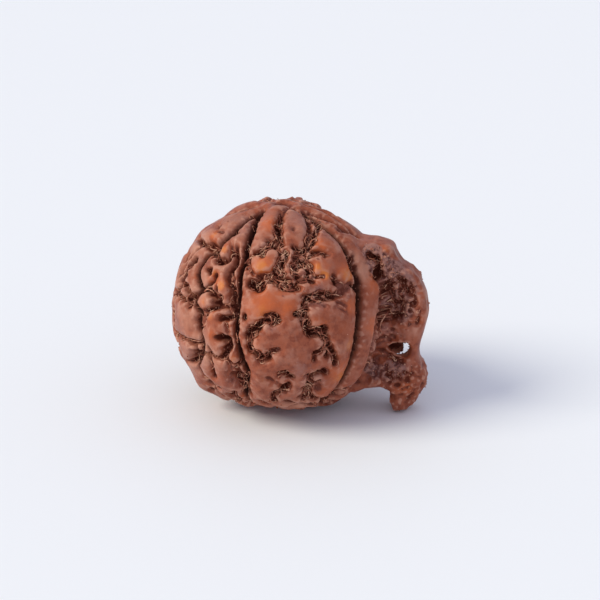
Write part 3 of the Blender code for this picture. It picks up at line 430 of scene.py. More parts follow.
# Broad lumps on the outline: longitude, latitude, radius, rise.
LUMPS = [
    (-124, 56, 1.5, -.1), (-146, 69, 1.5, .45), (177, 71, .9, -1.6), (157, 71, 1.2, .95),
    (113, 47, 2.2, -.8),
    (-17, 80, .8, .35), (18, 79, .9, .35), (-90, 46, 1.8, .1), (-93, 18, 1.6, -.1), (-88, -5, 2.0, -.2),
    (-83, -20, 1.8, .3), (-71, -41, 1.6, .5), (-62, -58, 1.6, .2), (-20, 62, 1.8, .2), (16, 62, 1.8, .2),
    (42, 48, 2.0, .25), (30, -6, 2.5, .2), (-66, 50, 2.2, .3), (20, 8, 2.0, -.2),
    (-4, -63, 3.0, -.8), (44, -57, 2.2, .3), (-113, 50, 1.5, -.3),
]

# The small see-through gap beside the trunk: its crescent outline on the crest's front side.
GAP_OUTLINE = [
    (13.95, 9.3), (14.2, 9.38), (14.45, 9.3), (14.6, 9.05), (14.58, 8.7), (14.4, 8.4), (14.05, 8.1),
    (13.6, 7.98),
    (13.2, 8.05), (13.6, 8.22), (13.88, 8.45), (13.98, 8.75), (13.9, 9.05),
]
GAP_DIRECTION = (0.062, 0.927, -0.368)

# Finer grooves round the smaller lobes: longitude, latitude, half-width.
FINE_GROOVES = [
    [(50, 74, .2), (40.5, 68.2, .26), (33.6, 62.4, .32), (28, 57.3, .34), (22.3, 52.6, .32)],
    [(2.5, 74.7, .2), (10, 78.6, .18), (28, 80.3, .18), (46.5, 78, .18), (50, 74, .2)],
    [(30, 59.8, .25), (33, 57.4, .25), (40, 60, .22), (45.5, 60.7, .2)],
    [(71, 74, .18), (68.5, 68.4, .2), (71, 60.5, .22), (72, 51.8, .22), (76.8, 46, .2)],
    [(-24, 46, .2), (-21.6, 42, .24), (-19.2, 38.5, .26), (-17, 36, .3)],
    [(-17, 36, .3), (-14, 35, .3), (-10, 36, .28), (-5.5, 37.6, .3)],
    [(-15.4, 46.6, .16), (-13.6, 44.9, .2), (-11.8, 45.4, .18), (-11, 47, .16)],
    [(-27.9, -11.1, .26), (-27.5, -15.5, .28), (-29.2, -20.8, .26), (-29.6, -26.2, .2)],
    [(-66, 43.6, .3), (-60, 43.4, .48), (-55, 43.4, .52), (-53, 42, .45)],
    [(-67.5, 43, .2), (-72.7, 38.8, .2), (-73.8, 33.3, .2), (-76.7, 27.4, .2), (-79, 21, .2)],
    [(-50.8, 46.6, .2), (-49, 42.9, .22), (-43, 40, .26), (-37.8, 41, .26), (-37.8, 44.8, .24),
     (-42, 49, .18)],
    [(-38.6, 32.8, .2), (-38.7, 27.6, .24), (-38.2, 24.2, .26)],
    [(-32.4, 36, .2), (-30, 31, .24), (-29, 26, .26)],
]
FINE_GROOVE_DEPTH = 0.95

# The low knoll behind the pole: longitude, latitude, radius, and between which heights it stays.
FAR_KNOLL = (156.0, 71.5, 1.7)
FAR_KNOLL_HEIGHTS = (-0.12, 0.1)

CREST_SIDE = Vector((-np.cos(np.radians(CREST_LONGITUDE)), -np.sin(np.radians(CREST_LONGITUDE)), 0.0))
CREST_OUT = Vector((np.sin(np.radians(CREST_LONGITUDE)), -np.cos(np.radians(CREST_LONGITUDE)), 0.0))


def pick_only(piece):
    bpy.ops.object.select_all(action="DESELECT")
    piece.select_set(True)
    bpy.context.view_layer.objects.active = piece


def apply_all(piece):
    pick_only(piece)
    for modifier in list(piece.modifiers):
        bpy.ops.object.modifier_apply(modifier=modifier.name)


def combine(piece, tool, operation):
    modifier = piece.modifiers.new(operation.title(), "BOOLEAN")
    modifier.object = tool
    modifier.operation = operation
    modifier.solver = "EXACT"
    apply_all(piece)
    bpy.data.objects.remove(tool, do_unlink=True)


def remake_surface(piece, voxel, smoothing):
    """One closed even mesh in place of what is there."""
    remesh = piece.modifiers.new("Remesh", "REMESH")
    remesh.mode = "VOXEL"
    remesh.voxel_size = voxel * MM
    smooth = piece.modifiers.new("Smooth", "SMOOTH")
    smooth.factor = 0.5
    smooth.iterations = smoothing
    apply_all(piece)


def crest_swell(reach, height):
    """The crest is thicker where it leaves the body and down its trunk."""
    root = np.clip((13.8 - reach) / 3.4, 0.0, 1.0)
    low = np.clip((17.5 - height) / 3.0, 0.0, 1.0)
    trunk = np.clip((7.5 - height) / 2.5, 0.0, 1.0) * np.clip((reach - 11.5) / 1.5, 0.0, 1.0)
    return 1.0 + root * (0.35 + 0.5 * low) + 0.15 * trunk


def crest_blank():
    """The crest's outline given thickness and rounded edges, turned into its standing plane."""
    curve = bpy.data.curves.new("crest", "CURVE")
    curve.dimensions = "2D"
    curve.fill_mode = "BOTH"
    curve.extrude = (CREST_HALF_THICKNESS - CREST_EDGE_ROUND) * MM
    curve.bevel_depth = CREST_EDGE_ROUND * MM
    curve.offset = -CREST_EDGE_ROUND * MM
    curve.bevel_resolution = 4
    spline = curve.splines.new("POLY")
    spline.points.add(len(CREST_OUTLINE) - 1)
    spline.use_cyclic_u = True
    for point, (across, up) in zip(spline.points, CREST_OUTLINE):
        point.co = (across * MM, up * MM, 0.0, 1.0)
    crest = bpy.data.objects.new("crest", curve)
    bpy.context.scene.collection.objects.link(crest)
    pick_only(crest)
    bpy.ops.object.convert(target="MESH")
    bpy.ops.object.mode_set(mode="EDIT")
    bpy.ops.mesh.select_all(action="SELECT")
    bpy.ops.mesh.remove_doubles(threshold=0.001 * MM)
    bpy.ops.mesh.normals_make_consistent(inside=False)
    bpy.ops.object.mode_set(mode="OBJECT")
    for vertex in crest.data.vertices:
        vertex.co.z *= crest_swell(vertex.co.x / MM, vertex.co.y / MM)
    columns = (CREST_OUT, Vector((0.0, 0.0, 1.0)), CREST_SIDE)
    plane = Matrix([[column[row] for column in columns] for row in range(3)]).to_4x4()
    plane.translation = Vector((BODY_CENTRE[0], BODY_CENTRE[1], CREST_BASE)) * MM
    crest.data.transform(plane)
    return crest


def pressed_flatter(points):
    """Points of the round ball moved to where its flatter underside is."""
    across = np.hypot(points[..., 0] - BODY_CENTRE[0], points[..., 1] - BODY_CENTRE[1])
    share = np.clip((UNDERSIDE_REACH - across) / UNDERSIDE_FADE, 0.0, 1.0)
    lift = UNDERSIDE_LIFT * share * share * (3.0 - 2.0 * share)
    points[..., 2] += np.where(points[..., 2] < BODY_CENTRE[2], lift, 0.0)
    return points


def on_body(longitude, latitude):
    turn = np.radians(longitude)
    rise = np.radians(latitude)
    direction = np.array([np.cos(rise) * np.sin(turn), -np.cos(rise) * np.cos(turn), np.sin(rise)])
    axes = np.array([BODY_RADIUS, BODY_RADIUS, BODY_HALF_HEIGHT])
    return pressed_flatter(np.array(BODY_CENTRE) + direction / np.linalg.norm(direction / axes))


def on_crest(reach, height, side):
    base = np.array([BODY_CENTRE[0], BODY_CENTRE[1], height + CREST_BASE])
    offset = side * CREST_HALF_THICKNESS * crest_swell(reach, height)
    return base + reach * np.array(CREST_OUT) + offset * np.array(CREST_SIDE)


def body_strokes(strokes):
    return [[(on_body(lon, lat), width) for lon, lat, width in stroke] for stroke in strokes]


def crest_strokes(strokes):
    """The same hollows on both sides of the crest: as drawn in front, upside down behind."""
    low, high = FAR_CREST_HEIGHTS
    front = [[(on_crest(reach, up, 1), width) for reach, up, width in stroke] for stroke in strokes]
    turned = [[(reach, FAR_CREST_TURN - up, width) for reach, up, width in stroke] for stroke in strokes]
    back = [[(on_crest(reach, up, -1), width) for reach, up, width in stroke] for stroke in turned]
    return front + [stroke for stroke in back if all(low < point[2] < high for point, _ in stroke)]


def moved_face(strokes, face, low, high, upside_down, sideways):
    """The same kind of hollows on another face: this face's drawing turned over and squeezed to fit."""
    start, end = face
    moved = []
    for stroke in strokes:
        path = []
        for lon, lat, width in stroke:
            across = (lon - start) / (end - start)
            across = 1.0 - across if sideways else across
            lat = -lat if upside_down else lat
            path.append((low + across * (high - low), lat, width))
        if all(abs(lat) < HIGHEST_MOVED for _, lat, _ in path):
            moved.append(path)
    return moved


def scattered_hollows():
    """Short winding hollows where no drawing reaches: under the stone and over the far side of its top."""
    draw = random.Random(SCATTER_SEED)
    strokes = []
    for latitude, count, first, last in SCATTER_BANDS:
        for index in range(count):
            lon = first + (last - first) * (index + draw.uniform(0.2, 0.8)) / count
            lat = latitude + draw.uniform(-4.0, 4.0)
            heading = draw.uniform(0.0, 2.0 * np.pi)
            path = []
            for _ in range(draw.randint(2, 5)):
                path.append((lon, lat, draw.uniform(0.16, 0.42)))
                heading += draw.uniform(-1.0, 1.0)
                lon += SCATTER_STEP * np.cos(heading) / np.cos(np.radians(lat))
                lat += SCATTER_STEP * np.sin(heading)
            strokes.append(path)
    return strokes


def hidden_faces(front, left):
    """Every hollow round the sides that the front view does not show."""
    return (
        moved_face(front, FRONT_FACE, 180, 219, True, False)
        + moved_face(front, FRONT_FACE, 124, 180, False, True)
        + moved_face(front, FRONT_FACE, -141, -98, True, True)
        + moved_face(left, LEFT_FACE, -98, -72, True, False)
        + moved_face(left, LEFT_FACE, 94, 124, True, True)
    )


def wavy_meridian(longitude, seed):
    """A cleft from pole to pole that strays a little from its meridian."""
    path = []
    for latitude in range(*CLEFT_LATITUDES):
        stray = CLEFT_STRAY * noise.noise(Vector((latitude * 0.05, seed, 0.0)))
        width = CLEFT_HALF_WIDTH + 0.08 * noise.noise(Vector((latitude * 0.09, seed, 4.0)))
        path.append((longitude + stray / np.cos(np.radians(latitude * 0.8)), latitude, width))
    return path


def signed_distance(points, strokes):
    """Distance to the nearest stroke's edge, negative inside it. Strokes are chains of round-ended bars."""
    nearest = np.full(len(points), FAR_OFF)
    for stroke in strokes:
        ends = list(zip(stroke, stroke[1:] or stroke))
        for (start, start_width), (end, end_width) in ends:
            middle = (start + end) / 2
            reach = np.linalg.norm(end - start) / 2 + CLOSE_BY
            close = np.nonzero((np.abs(points - middle) < reach).all(axis=1))[0]
            along = end - start
            offset = points[close] - start
            share = np.clip(offset @ along / max(along @ along, 1e-9), 0.0, 1.0)
            gap = np.linalg.norm(offset - share[:, None] * along, axis=1)
            gap -= start_width + share * (end_width - start_width)
            nearest[close] = np.minimum(nearest[close], gap)
    return nearest


def noise_field(points, size, seed):
    shift = Vector((seed * 7.31, seed * 3.17, seed * 5.77))
    return np.array([noise.noise(Vector(point) / size + shift) for point in points])


def step(value):
    return 1.0 / (1.0 + np.exp(-np.clip(value, -30.0, 30.0)))


def hollow(distance, depth):
    """Height change across a hollow's edge: flat outside, a rounded lip, then a steep wall."""
    wall = -depth * step(-(distance + 0.07) / WALL_SOFTNESS)
    return wall - LIP_DEPTH * np.exp(-np.maximum(distance, 0.0) / LIP_WIDTH)


cleft_strokes = body_strokes(CLEFTS + [wavy_meridian(lon, seed) for seed, lon in enumerate(HIDDEN_CLEFTS)])
pit_strokes = body_strokes(
    FRONT_PITS + LEFT_PITS + FLANK_PITS + hidden_faces(FRONT_PITS, LEFT_PITS) + scattered_hollows()
)
fine_strokes = body_strokes(FINE_GROOVES)
low_strokes = body_strokes(FRONT_LOWS + LEFT_LOWS + hidden_faces(FRONT_LOWS, LEFT_LOWS))
dent_strokes = (
    body_strokes(FRONT_DENTS + LEFT_DENTS + FLANK_DENTS + hidden_faces(FRONT_DENTS, LEFT_DENTS))
    + crest_strokes(CREST_DENTS)
    + [[(on_crest(reach, up, 0), width) for reach, up, width in stroke] for stroke in CREST_RIM]
)


def coarse_share(points, places):
    """How coarse the skin is at each point: only on parts of the crest's broad sides."""
    share = np.zeros(len(points))
    for reach, up, radius in places:
        for side in (1, -1):
            distance = np.linalg.norm(points - on_crest(reach, up, side), axis=1)
            share = np.maximum(share, np.exp(-((distance / radius) ** 4)))
    return share


def round_distance(points, longitude, latitude, radius):
    """Distance to the edge of a round spot on the body, negative inside it."""
    return np.linalg.norm(points - on_body(longitude, latitude), axis=1) - radius


def relief(points):
    """How far each point of the smooth blank moves in or out along its normal."""
    wobble = EDGE_WOBBLE * noise_field(points, 0.9, 1) + FINE_WOBBLE * noise_field(points, 0.4, 8)
    wobble += FRAYED_EDGE * noise_field(points, 0.25, 12)
    cleft = signed_distance(points, cleft_strokes)
    pit = signed_distance(points, pit_strokes) + wobble
    low = signed_distance(points, low_strokes) + wobble
    crest_pit = signed_distance(points, crest_strokes(CREST_PITS)) + wobble
    crest_low = signed_distance(points, crest_strokes(CREST_LOWS)) + 1.5 * wobble
    dent = signed_distance(points, dent_strokes) + 0.6 * wobble
    height = np.minimum(hollow(pit, PIT_DEPTH), hollow(low, LOW_DEPTH))
    fine_groove = signed_distance(points, fine_strokes) + wobble
    height = np.minimum(height, hollow(fine_groove, FINE_GROOVE_DEPTH))
    height = np.minimum(height, hollow(dent, DENT_DEPTH))
    height = np.minimum(height, hollow(crest_low, CREST_LOW_DEPTH))
    height = np.minimum(height, hollow(crest_pit, CREST_PIT_DEPTH))
    rib = signed_distance(points, body_strokes(RIBS))
    height += RIB_RISE * step(-rib / RIB_SOFTNESS)
    valley = signed_distance(points, body_strokes(FLANK_VALLEY))
    height -= FLANK_DROP * step(-valley / FLANK_SOFTNESS) * step(rib / FLANK_RIB_SOFTNESS)
    knobs = [(body_strokes([stroke]), top) for stroke, top in KNOBS]
    knobs += [(crest_strokes([stroke]), top) for stroke, top in CREST_KNOBS]
    for strokes, top in knobs:
        inside = -signed_distance(points, strokes) + wobble
        height += (top - height) * step(inside / KNOB_SOFTNESS)
    cavity = [[(on_crest(reach, up, 1), width) for reach, up, width in CREST_CAVITY]]
    height = np.minimum(height, hollow(signed_distance(points, cavity) + wobble, CAVITY_DEPTH))
    bowl = round_distance(points, *POLE_BOWL)
    height = np.minimum(height, -POLE_BOWL_DEPTH * step(-bowl / POLE_BOWL_SOFTNESS))
    height = np.minimum(height, hollow(round_distance(points, *POLE_PIT), PIT_DEPTH))
    height = np.minimum(height, hollow(cleft + 0.5 * wobble, CLEFT_DEPTH))
    height -= VALLEY_DEPTH * np.exp(-((np.maximum(cleft, 0.0) / VALLEY_WIDTH) ** 2))
    depth_share = np.clip(-height / PIT_DEPTH, 0.0, 1.0)
    crumble = FLOOR_ROUGHNESS * noise_field(points, 0.5, 3) + FLOOR_CRUMBLE * noise_field(points, 0.24, 11)
    height += depth_share * crumble
    height += BROAD_WAVES * noise_field(points, 2.4, 4)
    for lon, lat, radius, lift in LUMPS:
        height += lift * np.exp(-((np.linalg.norm(points - on_body(lon, lat), axis=1) / radius) ** 2))
    lon, lat, radius = FAR_KNOLL
    knoll = np.exp(-((np.linalg.norm(points - on_body(lon, lat), axis=1) / radius) ** 4))
    height += knoll * (np.clip(height, *FAR_KNOLL_HEIGHTS) - height)
    centre = np.array(BODY_CENTRE)
    reach = (points - centre) @ np.array(CREST_OUT)
    trunk = np.clip((TRUNK_TOP - points[:, 2]) / 1.5, 0.0, 1.0) * np.clip(reach - TRUNK_REACH, 0.0, 1.0)
    trunk_lumps = TRUNK_LUMPS * noise_field(points, 1.1, 6)
    height += trunk * (trunk_lumps + TRUNK_GRAIN * noise_field(points, 0.45, 7))
    coarse = coarse_share(points, CREST_COARSE)
    coarse_lumps = COARSE_LUMPS * noise_field(points, 1.0, 9)
    height += coarse * (coarse_lumps + COARSE_GRAIN * noise_field(points, 0.45, 10))
    height += coarse * COARSE_FINE_GRAIN * noise_field(points, 0.26, 13)
    under = np.clip((points[:, 2] - 0.15) / FLAT_FADE_HEIGHT, 0.0, 1.0)
    near_axis = reach < 9.0
    return np.where(near_axis, height * under, height)


def edge_ends(mesh):
    ends = np.empty(len(mesh.edges) * 2, dtype=np.int64)
    mesh.edges.foreach_get("vertices", ends)
    return ends.reshape(-1, 2)


def neighbour_means(mesh, values, rounds):
    """Each point's value averaged with its neighbours', so many times over."""
    ends = edge_ends(mesh)
    count = np.maximum(np.bincount(ends.ravel(), minlength=len(values)), 1)
    for _ in range(rounds):
        total = np.zeros_like(values)
        for column in range(values.shape[1]):
            total[:, column] = np.bincount(ends[:, 0], values[ends[:, 1], column], len(values))
            total[:, column] += np.bincount(ends[:, 1], values[ends[:, 0], column], len(values))
        values = (values + total / count[:, None]) / 2.0
    return values


def skin_heights(mesh, heights):
    """The height of the whole skin over each point, as if the hollows were filled level."""
    ends = edge_ends(mesh)
    skin = heights.copy()
    for choose in [np.maximum] * SKIN_ROUNDS + [np.minimum] * SKIN_ROUNDS:
        spread = skin.copy()
        choose.at(spread, ends[:, 0], skin[ends[:, 1]])
        choose.at(spread, ends[:, 1], skin[ends[:, 0]])
        skin = spread
    return neighbour_means(mesh, skin[:, None], SKIN_ROUNDS)[:, 0]


def read_vectors(mesh, name):
    values = np.empty(len(mesh.vertices) * 3)
    mesh.vertices.foreach_get(name, values)
    return values.reshape(-1, 3)


# The smooth blank: a slightly flattened ball joined to the crest.
bpy.ops.object.select_all(action="DESELECT")
bpy.ops.mesh.primitive_ico_sphere_add(subdivisions=6, radius=BODY_RADIUS * MM)
stone = bpy.context.object
stone.name = "stone"
bpy.ops.transform.resize(value=(1.0, 1.0, BODY_HALF_HEIGHT / BODY_RADIUS))
bpy.ops.transform.translate(value=Vector(BODY_CENTRE) * MM)
bpy.ops.object.transform_apply(location=True, rotation=True, scale=True)
for vertex in stone.data.vertices:
    vertex.co = Vector(pressed_flatter(np.array(vertex.co) / MM)) * MM
combine(stone, crest_blank(), "UNION")
remake_surface(stone, BLANK_VOXEL, 12)

# Carving: each point moves along its normal, and what it became is remembered for the finish.
blank_points = read_vectors(stone.data, "co") / MM
blank_normals = read_vectors(stone.data, "normal")
heights = relief(blank_points)
skin = skin_heights(stone.data, heights)
carved_points = blank_points + heights[:, None] * blank_normals
blank_faces = [list(face.vertices) for face in stone.data.polygons]
blank_tree = BVHTree.FromPolygons([Vector(point) for point in blank_points], blank_faces)
stone.data.vertices.foreach_set("co", (carved_points * MM).ravel())
stone.data.update()
remake_surface(stone, CARVED_VOXEL, 1)
stone.data.calc_loop_triangles()
decimate = stone.modifiers.new("Decimate", "DECIMATE")
decimate.ratio = min(1.0, STONE_TRIANGLES / len(stone.data.loop_triangles))
apply_all(stone)

# The crescent gap that runs slantwise through the crest.
start = [Vector(on_crest(reach, up, 1)) - 2.5 * Vector(GAP_DIRECTION) for reach, up in GAP_OUTLINE]
shape = bmesh.new()
face = shape.faces.new([shape.verts.new(point * MM) for point in start])
far = bmesh.ops.extrude_face_region(shape, geom=[face])
moved = [item for item in far["geom"] if isinstance(item, bmesh.types.BMVert)]
bmesh.ops.translate(shape, vec=Vector(GAP_DIRECTION) * 9.0 * MM, verts=moved)
bmesh.ops.recalc_face_normals(shape, faces=shape.faces)
gap_mesh = bpy.data.meshes.new("gap")
shape.to_mesh(gap_mesh)
shape.free()
gap = bpy.data.objects.new("gap", gap_mesh)
bpy.context.scene.collection.objects.link(gap)
combine(stone, gap, "DIFFERENCE")

# The small flat spot that it rests on.
pick_only(stone)
bpy.ops.object.mode_set(mode="EDIT")
bpy.ops.mesh.select_all(action="SELECT")
bpy.ops.mesh.bisect(
    plane_co=(0.0, 0.0, 0.0),
    plane_no=(0.0, 0.0, -1.0),
    use_fill=True,
    clear_outer=True,
    threshold=0.001 * MM,
)
bpy.ops.mesh.select_all(action="SELECT")
bpy.ops.mesh.quads_convert_to_tris()
bpy.ops.object.mode_set(mode="OBJECT")
pick_only(stone)
bpy.ops.object.shade_smooth()

# What the finish needs to know of each point: how deep it lies, how far it stands out of what is
# round it, and where the skin is warm, bright, dusty, worn and painted lighter, or caked.
PROUD_ROUNDS = 14
EDGE_ROUNDS = 4
CLEFT_EDGE = 0.2
TRUNK_INSIDE = 8.5

# Round patches on the body: longitude, latitude, radius, strength.
WARM_PATCHES = [
    (-12, 40, 1.6, 1.0), (-24.6, -9, 1.2, 1.0), (-36, 28, 1.3, .9), (-45, 45, 1.3, .9),
    (43, 33, 1.5, 1.0), (23, 37, 1.8, .8), (30, 52, 1.8, .6), (-14, -2, 1.4, .9), (-8, 22, 2.4, .7),
    (4, 20, 1.8, .6), (20, 10, 1.8, .6), (36, 2, 2.0, .7), (33, -18, 2.2, .8), (30, -34, 2.0, .7),
    (-12, 64, 1.4, .6), (-36, 2, 1.4, .6), (-38, -22, 1.6, .5), (60, 20, 2.0, .7), (57, 0, 2.0, .6),
    (-24, -40, 1.4, .7), (-60, 30, 1.4, .5), (40, 16, 1.4, .8), (-42, 30, 1.2, .8), (-45, 14, 1.2, .8),
    (-40, 12, 1.2, .8), (-58, 58, 1.2, .6), (-66, 50, 1.0, .8),
]
GLOWING_PATCHES = [
    (-12.5, 39.8, .75, 1.0), (-24.6, -9.5, .5, 1.0), (-35.6, 27, .7, .9), (-45, 45, .6, .9),
    (-65, 50, .6, .6), (43, 31, 1.1, .8), (24, 38, 1.0, .7), (-14.5, -2.5, .7, .7), (-10, 17, 1.6, .5),
    (34, -22, 1.4, .7), (36, -3, 1.2, .6), (-8, -20, 1.5, .4), (-22, -33, .9, .6), (27, 34, .8, .8),
    (-43, 32, .6, .7), (-45, 17, .7, .6), (-38, 11, .7, .6),
]
DUSTY_PATCHES = [
    (70, 22, 2.0, .8), (66, 12, 2.0, .8), (60, 2, 1.6, .8), (58, -12, 1.6, .7), (22, 24, 1.6, 1.0),
    (38, 25, 1.5, .8), (-11, 50, 1.0, .8), (8, 40, 3.0, .4), (10, -12, 2.4, .6), (17, -24, 1.8, .8),
    (-50, 45, 2.0, .6), (-30, -26, 2.0, .7), (-60, -20, 2.4, .7), (25, 68, 2.0, .8), (40, 52, 1.6, .6),
    (-48, 62, 2.6, .8), (-65, 60, 2.6, .7), (66, 4, 2.2, .7), (62, -10, 2.2, .7), (70, 40, 2.5, .6),
    (-5, 12, 1.3, .7), (-72, 20, 2.4, .6), (-68, -2, 2.4, .6), (-62, 36, 1.6, .6), (-45, 0, 1.6, .6),
    (-48, -14, 1.8, .7), (-46, 24, 1.6, .5), (-20, 26, 1.2, .5), (30, -12, 1.8, .4),
]
# Patches made paler: partly wear, partly painted light on the lit left lobes and on the long rib.
WORN_AND_LIT_PATCHES = [
    (-48, 22, 2.6, .7), (-45, -8, 2.6, .7), (-56, 4, 2.0, .5), (-38, 38, 1.6, .5), (-75, 40, 2.2, .6),
    (-78, 20, 2.2, .5), (-60, -20, 2.4, .5), (-38, 58, 2.6, .4), (-62, 60, 2.0, .5), (58, 30, 1.5, .8),
    (56, 38, 1.2, .7), (12, 70, 1.6, .4), (20, 62, 1.4, .4), (-18, 44, .8, .6), (10, -44, 2.6, .5),
    (0, -52, 2.0, .4), (34, -46, 1.6, .3),
]

# The same on the crest: distance from the axis, height, radius, and strength where it differs.
CRUMBLY_CREST = [
    (10.4, 20.0, 1.3), (11.2, 18.4, 1.5), (12.6, 17.4, 1.6), (13.4, 15.6, 2.2), (13.2, 13.4, 2.1),
    (12.0, 8.6, 1.3), (11.0, 6.4, 1.4), (13.0, 6.2, 1.5),
]
CREST_GLOW = [(12.2, 20.3, .8, 1.0), (16.0, 14.6, .9, .5)]
CREST_DUST = [(13.6, 14.6, 2.6, 1.0), (12.0, 17.6, 1.8, .8), (12.5, 10.4, 1.8, .8), (12.4, 6.2, 2.2, .7)]
CREST_WARM = [(12.0, 20.4, 1.2, 1.0), (15.9, 15.2, 1.3, .8), (16.3, 12.0, 1.0, .7), (14.2, 4.0, 1.6, .6)]


def stands_out(mesh, points, normals, rounds):
    """How far each point stands out of its surroundings, or lies under them."""
    return ((points - neighbour_means(mesh, points, rounds)) * normals).sum(axis=1)


def patches(points, places):
    """How much each point belongs to soft round patches, given as centres, radius and strength."""
    total = np.zeros(len(points))
    for centres, radius, strength in places:
        for centre in centres:
            distance = np.linalg.norm(points - centre, axis=1)
            total = np.maximum(total, strength * np.exp(-((distance / radius) ** 2)))
    return total


def on_skin(body_places, crest_places=()):
    """Patches with their centres as points: one on the body, one on each side of the crest."""
    body = [([on_body(lon, lat)], radius, strength) for lon, lat, radius, strength in body_places]
    crest = [
        ([on_crest(reach, up, 1), on_crest(reach, up, -1)], radius, strength)
        for reach, up, radius, strength in crest_places
    ]
    return body + crest


nearest_blank = KDTree(len(carved_points))
for index, point in enumerate(carved_points):
    nearest_blank.insert(point, index)
nearest_blank.balance()
stone_points = read_vectors(stone.data, "co") / MM
stone_normals = read_vectors(stone.data, "normal")
source = np.array([nearest_blank.find(point)[1] for point in stone_points])
cleft_gap = np.maximum(signed_distance(blank_points, cleft_strokes), 0.0)
low_down = np.clip((TRUNK_TOP - stone_points[:, 2]) / 2.0, 0.0, 1.0)
stone_shares = {
    "glow": patches(stone_points, on_skin(GLOWING_PATCHES, CREST_GLOW)),
    "cleft": np.exp(-((cleft_gap / CLEFT_EDGE) ** 2))[source],
    "sunk": np.clip((skin - heights)[source], 0.0, 2.0),
    "proud": stands_out(stone.data, stone_points, stone_normals, PROUD_ROUNDS),
    "edge": stands_out(stone.data, stone_points, stone_normals, EDGE_ROUNDS),
    "warm": patches(stone_points, on_skin(WARM_PATCHES, CREST_WARM)),
    "dusty": patches(stone_points, on_skin(DUSTY_PATCHES, CREST_DUST)),
    "worn_and_lit": patches(stone_points, on_skin(WORN_AND_LIT_PATCHES)),
    "coarse": coarse_share(stone_points, CRUMBLY_CREST),
    "trunk": low_down * np.clip((stone_points[:, 0] - TRUNK_INSIDE) / 1.5, 0.0, 1.0),
}
for name, values in stone_shares.items():
    attribute = stone.data.attributes.new(name, "FLOAT", "POINT")
    attribute.data.foreach_set("value", np.ascontiguousarray(values, dtype=np.float32))


class Shade:
    """One value in a material, so that sums and products read as plain expressions."""

    def __init__(self, tree, socket=None):
        self.tree = tree
        self.socket = socket

    def node(self, kind, settings, inputs, output=0):
        made = self.tree.nodes.new(kind)
        for name, value in settings.items():
            setattr(made, name, value)
        for name, value in inputs.items():
            if isinstance(value, Shade):
                self.tree.links.new(value.socket, made.inputs[name])
            else:
                made.inputs[name].default_value = value
        return Shade(self.tree, made.outputs[output])

    def math(self, operation, first, second):
        return self.node("ShaderNodeMath", {"operation": operation}, {0: first, 1: second})

    def __add__(self, other):
        return self.math("ADD", self, other)

    __radd__ = __add__

    def __mul__(self, other):
        return self.math("MULTIPLY", self, other)

    __rmul__ = __mul__

    def __sub__(self, other):
        return self.math("SUBTRACT", self, other)

    def __rsub__(self, other):
        return self.math("SUBTRACT", other, self)

    def held(self, low, high):
        """Where this value lies between low and high, from 0 to 1, with soft ends."""
        settings = {"interpolation_type": "SMOOTHSTEP", "clamp": True}
        return self.node("ShaderNodeMapRange", settings, {"Value": self, "From Min": low, "From Max": high})

    def attribute(self, name):
        return self.node("ShaderNodeAttribute", {"attribute_name": name}, {}, "Fac")

    def place(self):
        return self.node("ShaderNodeTexCoord", {}, {}, "Object")

    def cloudy(self, size, detail=2.0, roughness=0.5, shift=0.0):
        """Soft noise whose blotches are about this many millimetres."""
        shifts = {0: self.place(), 1: (shift, shift, shift)}
        where = self.node("ShaderNodeVectorMath", {"operation": "ADD"}, shifts)
        settings = {"noise_dimensions": "3D"}
        inputs = {"Vector": where, "Scale": 1.0 / (size * MM), "Detail": detail, "Roughness": roughness}
        return self.node("ShaderNodeTexNoise", settings, inputs, "Fac")

    def specks(self, size, radius):
        """Small round specks, about this far apart."""
        inputs = {"Vector": self.place(), "Scale": 1.0 / (size * MM), "Randomness": 1.0}
        distance = self.node("ShaderNodeTexVoronoi", {"voronoi_dimensions": "3D"}, inputs, "Distance")
        return 1.0 - distance.held(radius * 0.5, radius)

    def blend(self, share, first, second):
        settings = {"data_type": "RGBA", "blend_type": "MIX", "clamp_factor": True}
        return self.node("ShaderNodeMix", settings, {0: share, 6: first, 7: second}, 2)


def new_finish(name):
    material = bpy.data.materials.new(name)
    material.use_nodes = True
    surface = material.node_tree.nodes["Principled BSDF"]
    return material, surface, Shade(material.node_tree)


def feed(material, surface, name, value):
    material.node_tree.links.new(value.socket, surface.inputs[name])


# The husk's finish: waxy red-brown where it is worn, orange where it is thinnest, paler along
# its edges (partly wear, partly a painted highlight), paler in patches (partly wear, partly
# painted light), dull and greyed with dust in its hollows, with painted shade round the pits
# and in their low folds, and nearly black with painted shade deep in the clefts.
RED_BROWN = (0.33, 0.084, 0.04, 1.0)
DEEP_RED = (0.22, 0.049, 0.024, 1.0)
ORANGE = (0.5, 0.11, 0.034, 1.0)
ROSE_BROWN = (0.38, 0.132, 0.082, 1.0)
BRIGHT_ORANGE = (0.58, 0.17, 0.035, 1.0)
WORN_TAN_AND_HIGHLIGHT = (0.52, 0.24, 0.165, 1.0)
POLISHED_AND_LIT_TAN = (0.49, 0.215, 0.14, 1.0)
DUSTY_MAUVE = (0.29, 0.12, 0.098, 1.0)
PAINTED_SHADE_BROWN = (0.13, 0.027, 0.014, 1.0)
PIT_BROWN_AND_SHADE = (0.12, 0.022, 0.01, 1.0)
CLEFT_PAINTED_SHADE = (0.05, 0.012, 0.007, 1.0)
CLUMP_TAN = (0.36, 0.125, 0.07, 1.0)
CAKED_DARK_AND_SHADE = (0.1, 0.028, 0.022, 1.0)
CAKED_PALE_AND_HIGHLIGHT = (0.3, 0.135, 0.108, 1.0)
SPECK = (0.66, 0.38, 0.23, 1.0)

husk, surface, shade = new_finish("husk")
glow, cleft, sunk, proud, edge, warm, dusty, worn_and_lit, coarse, trunk = [
    shade.attribute(name) for name in stone_shares
]
broad = shade.cloudy(4.5, 2.0, 0.5, 0.01)
patchy = shade.cloudy(1.7, 3.0, 0.6, 0.02)
mottle = shade.cloudy(0.7, 3.0, 0.6, 0.07)
grain = shade.cloudy(0.3, 4.0, 0.65, 0.03)
fine = shade.cloudy(0.12, 3.0, 0.6, 0.04)

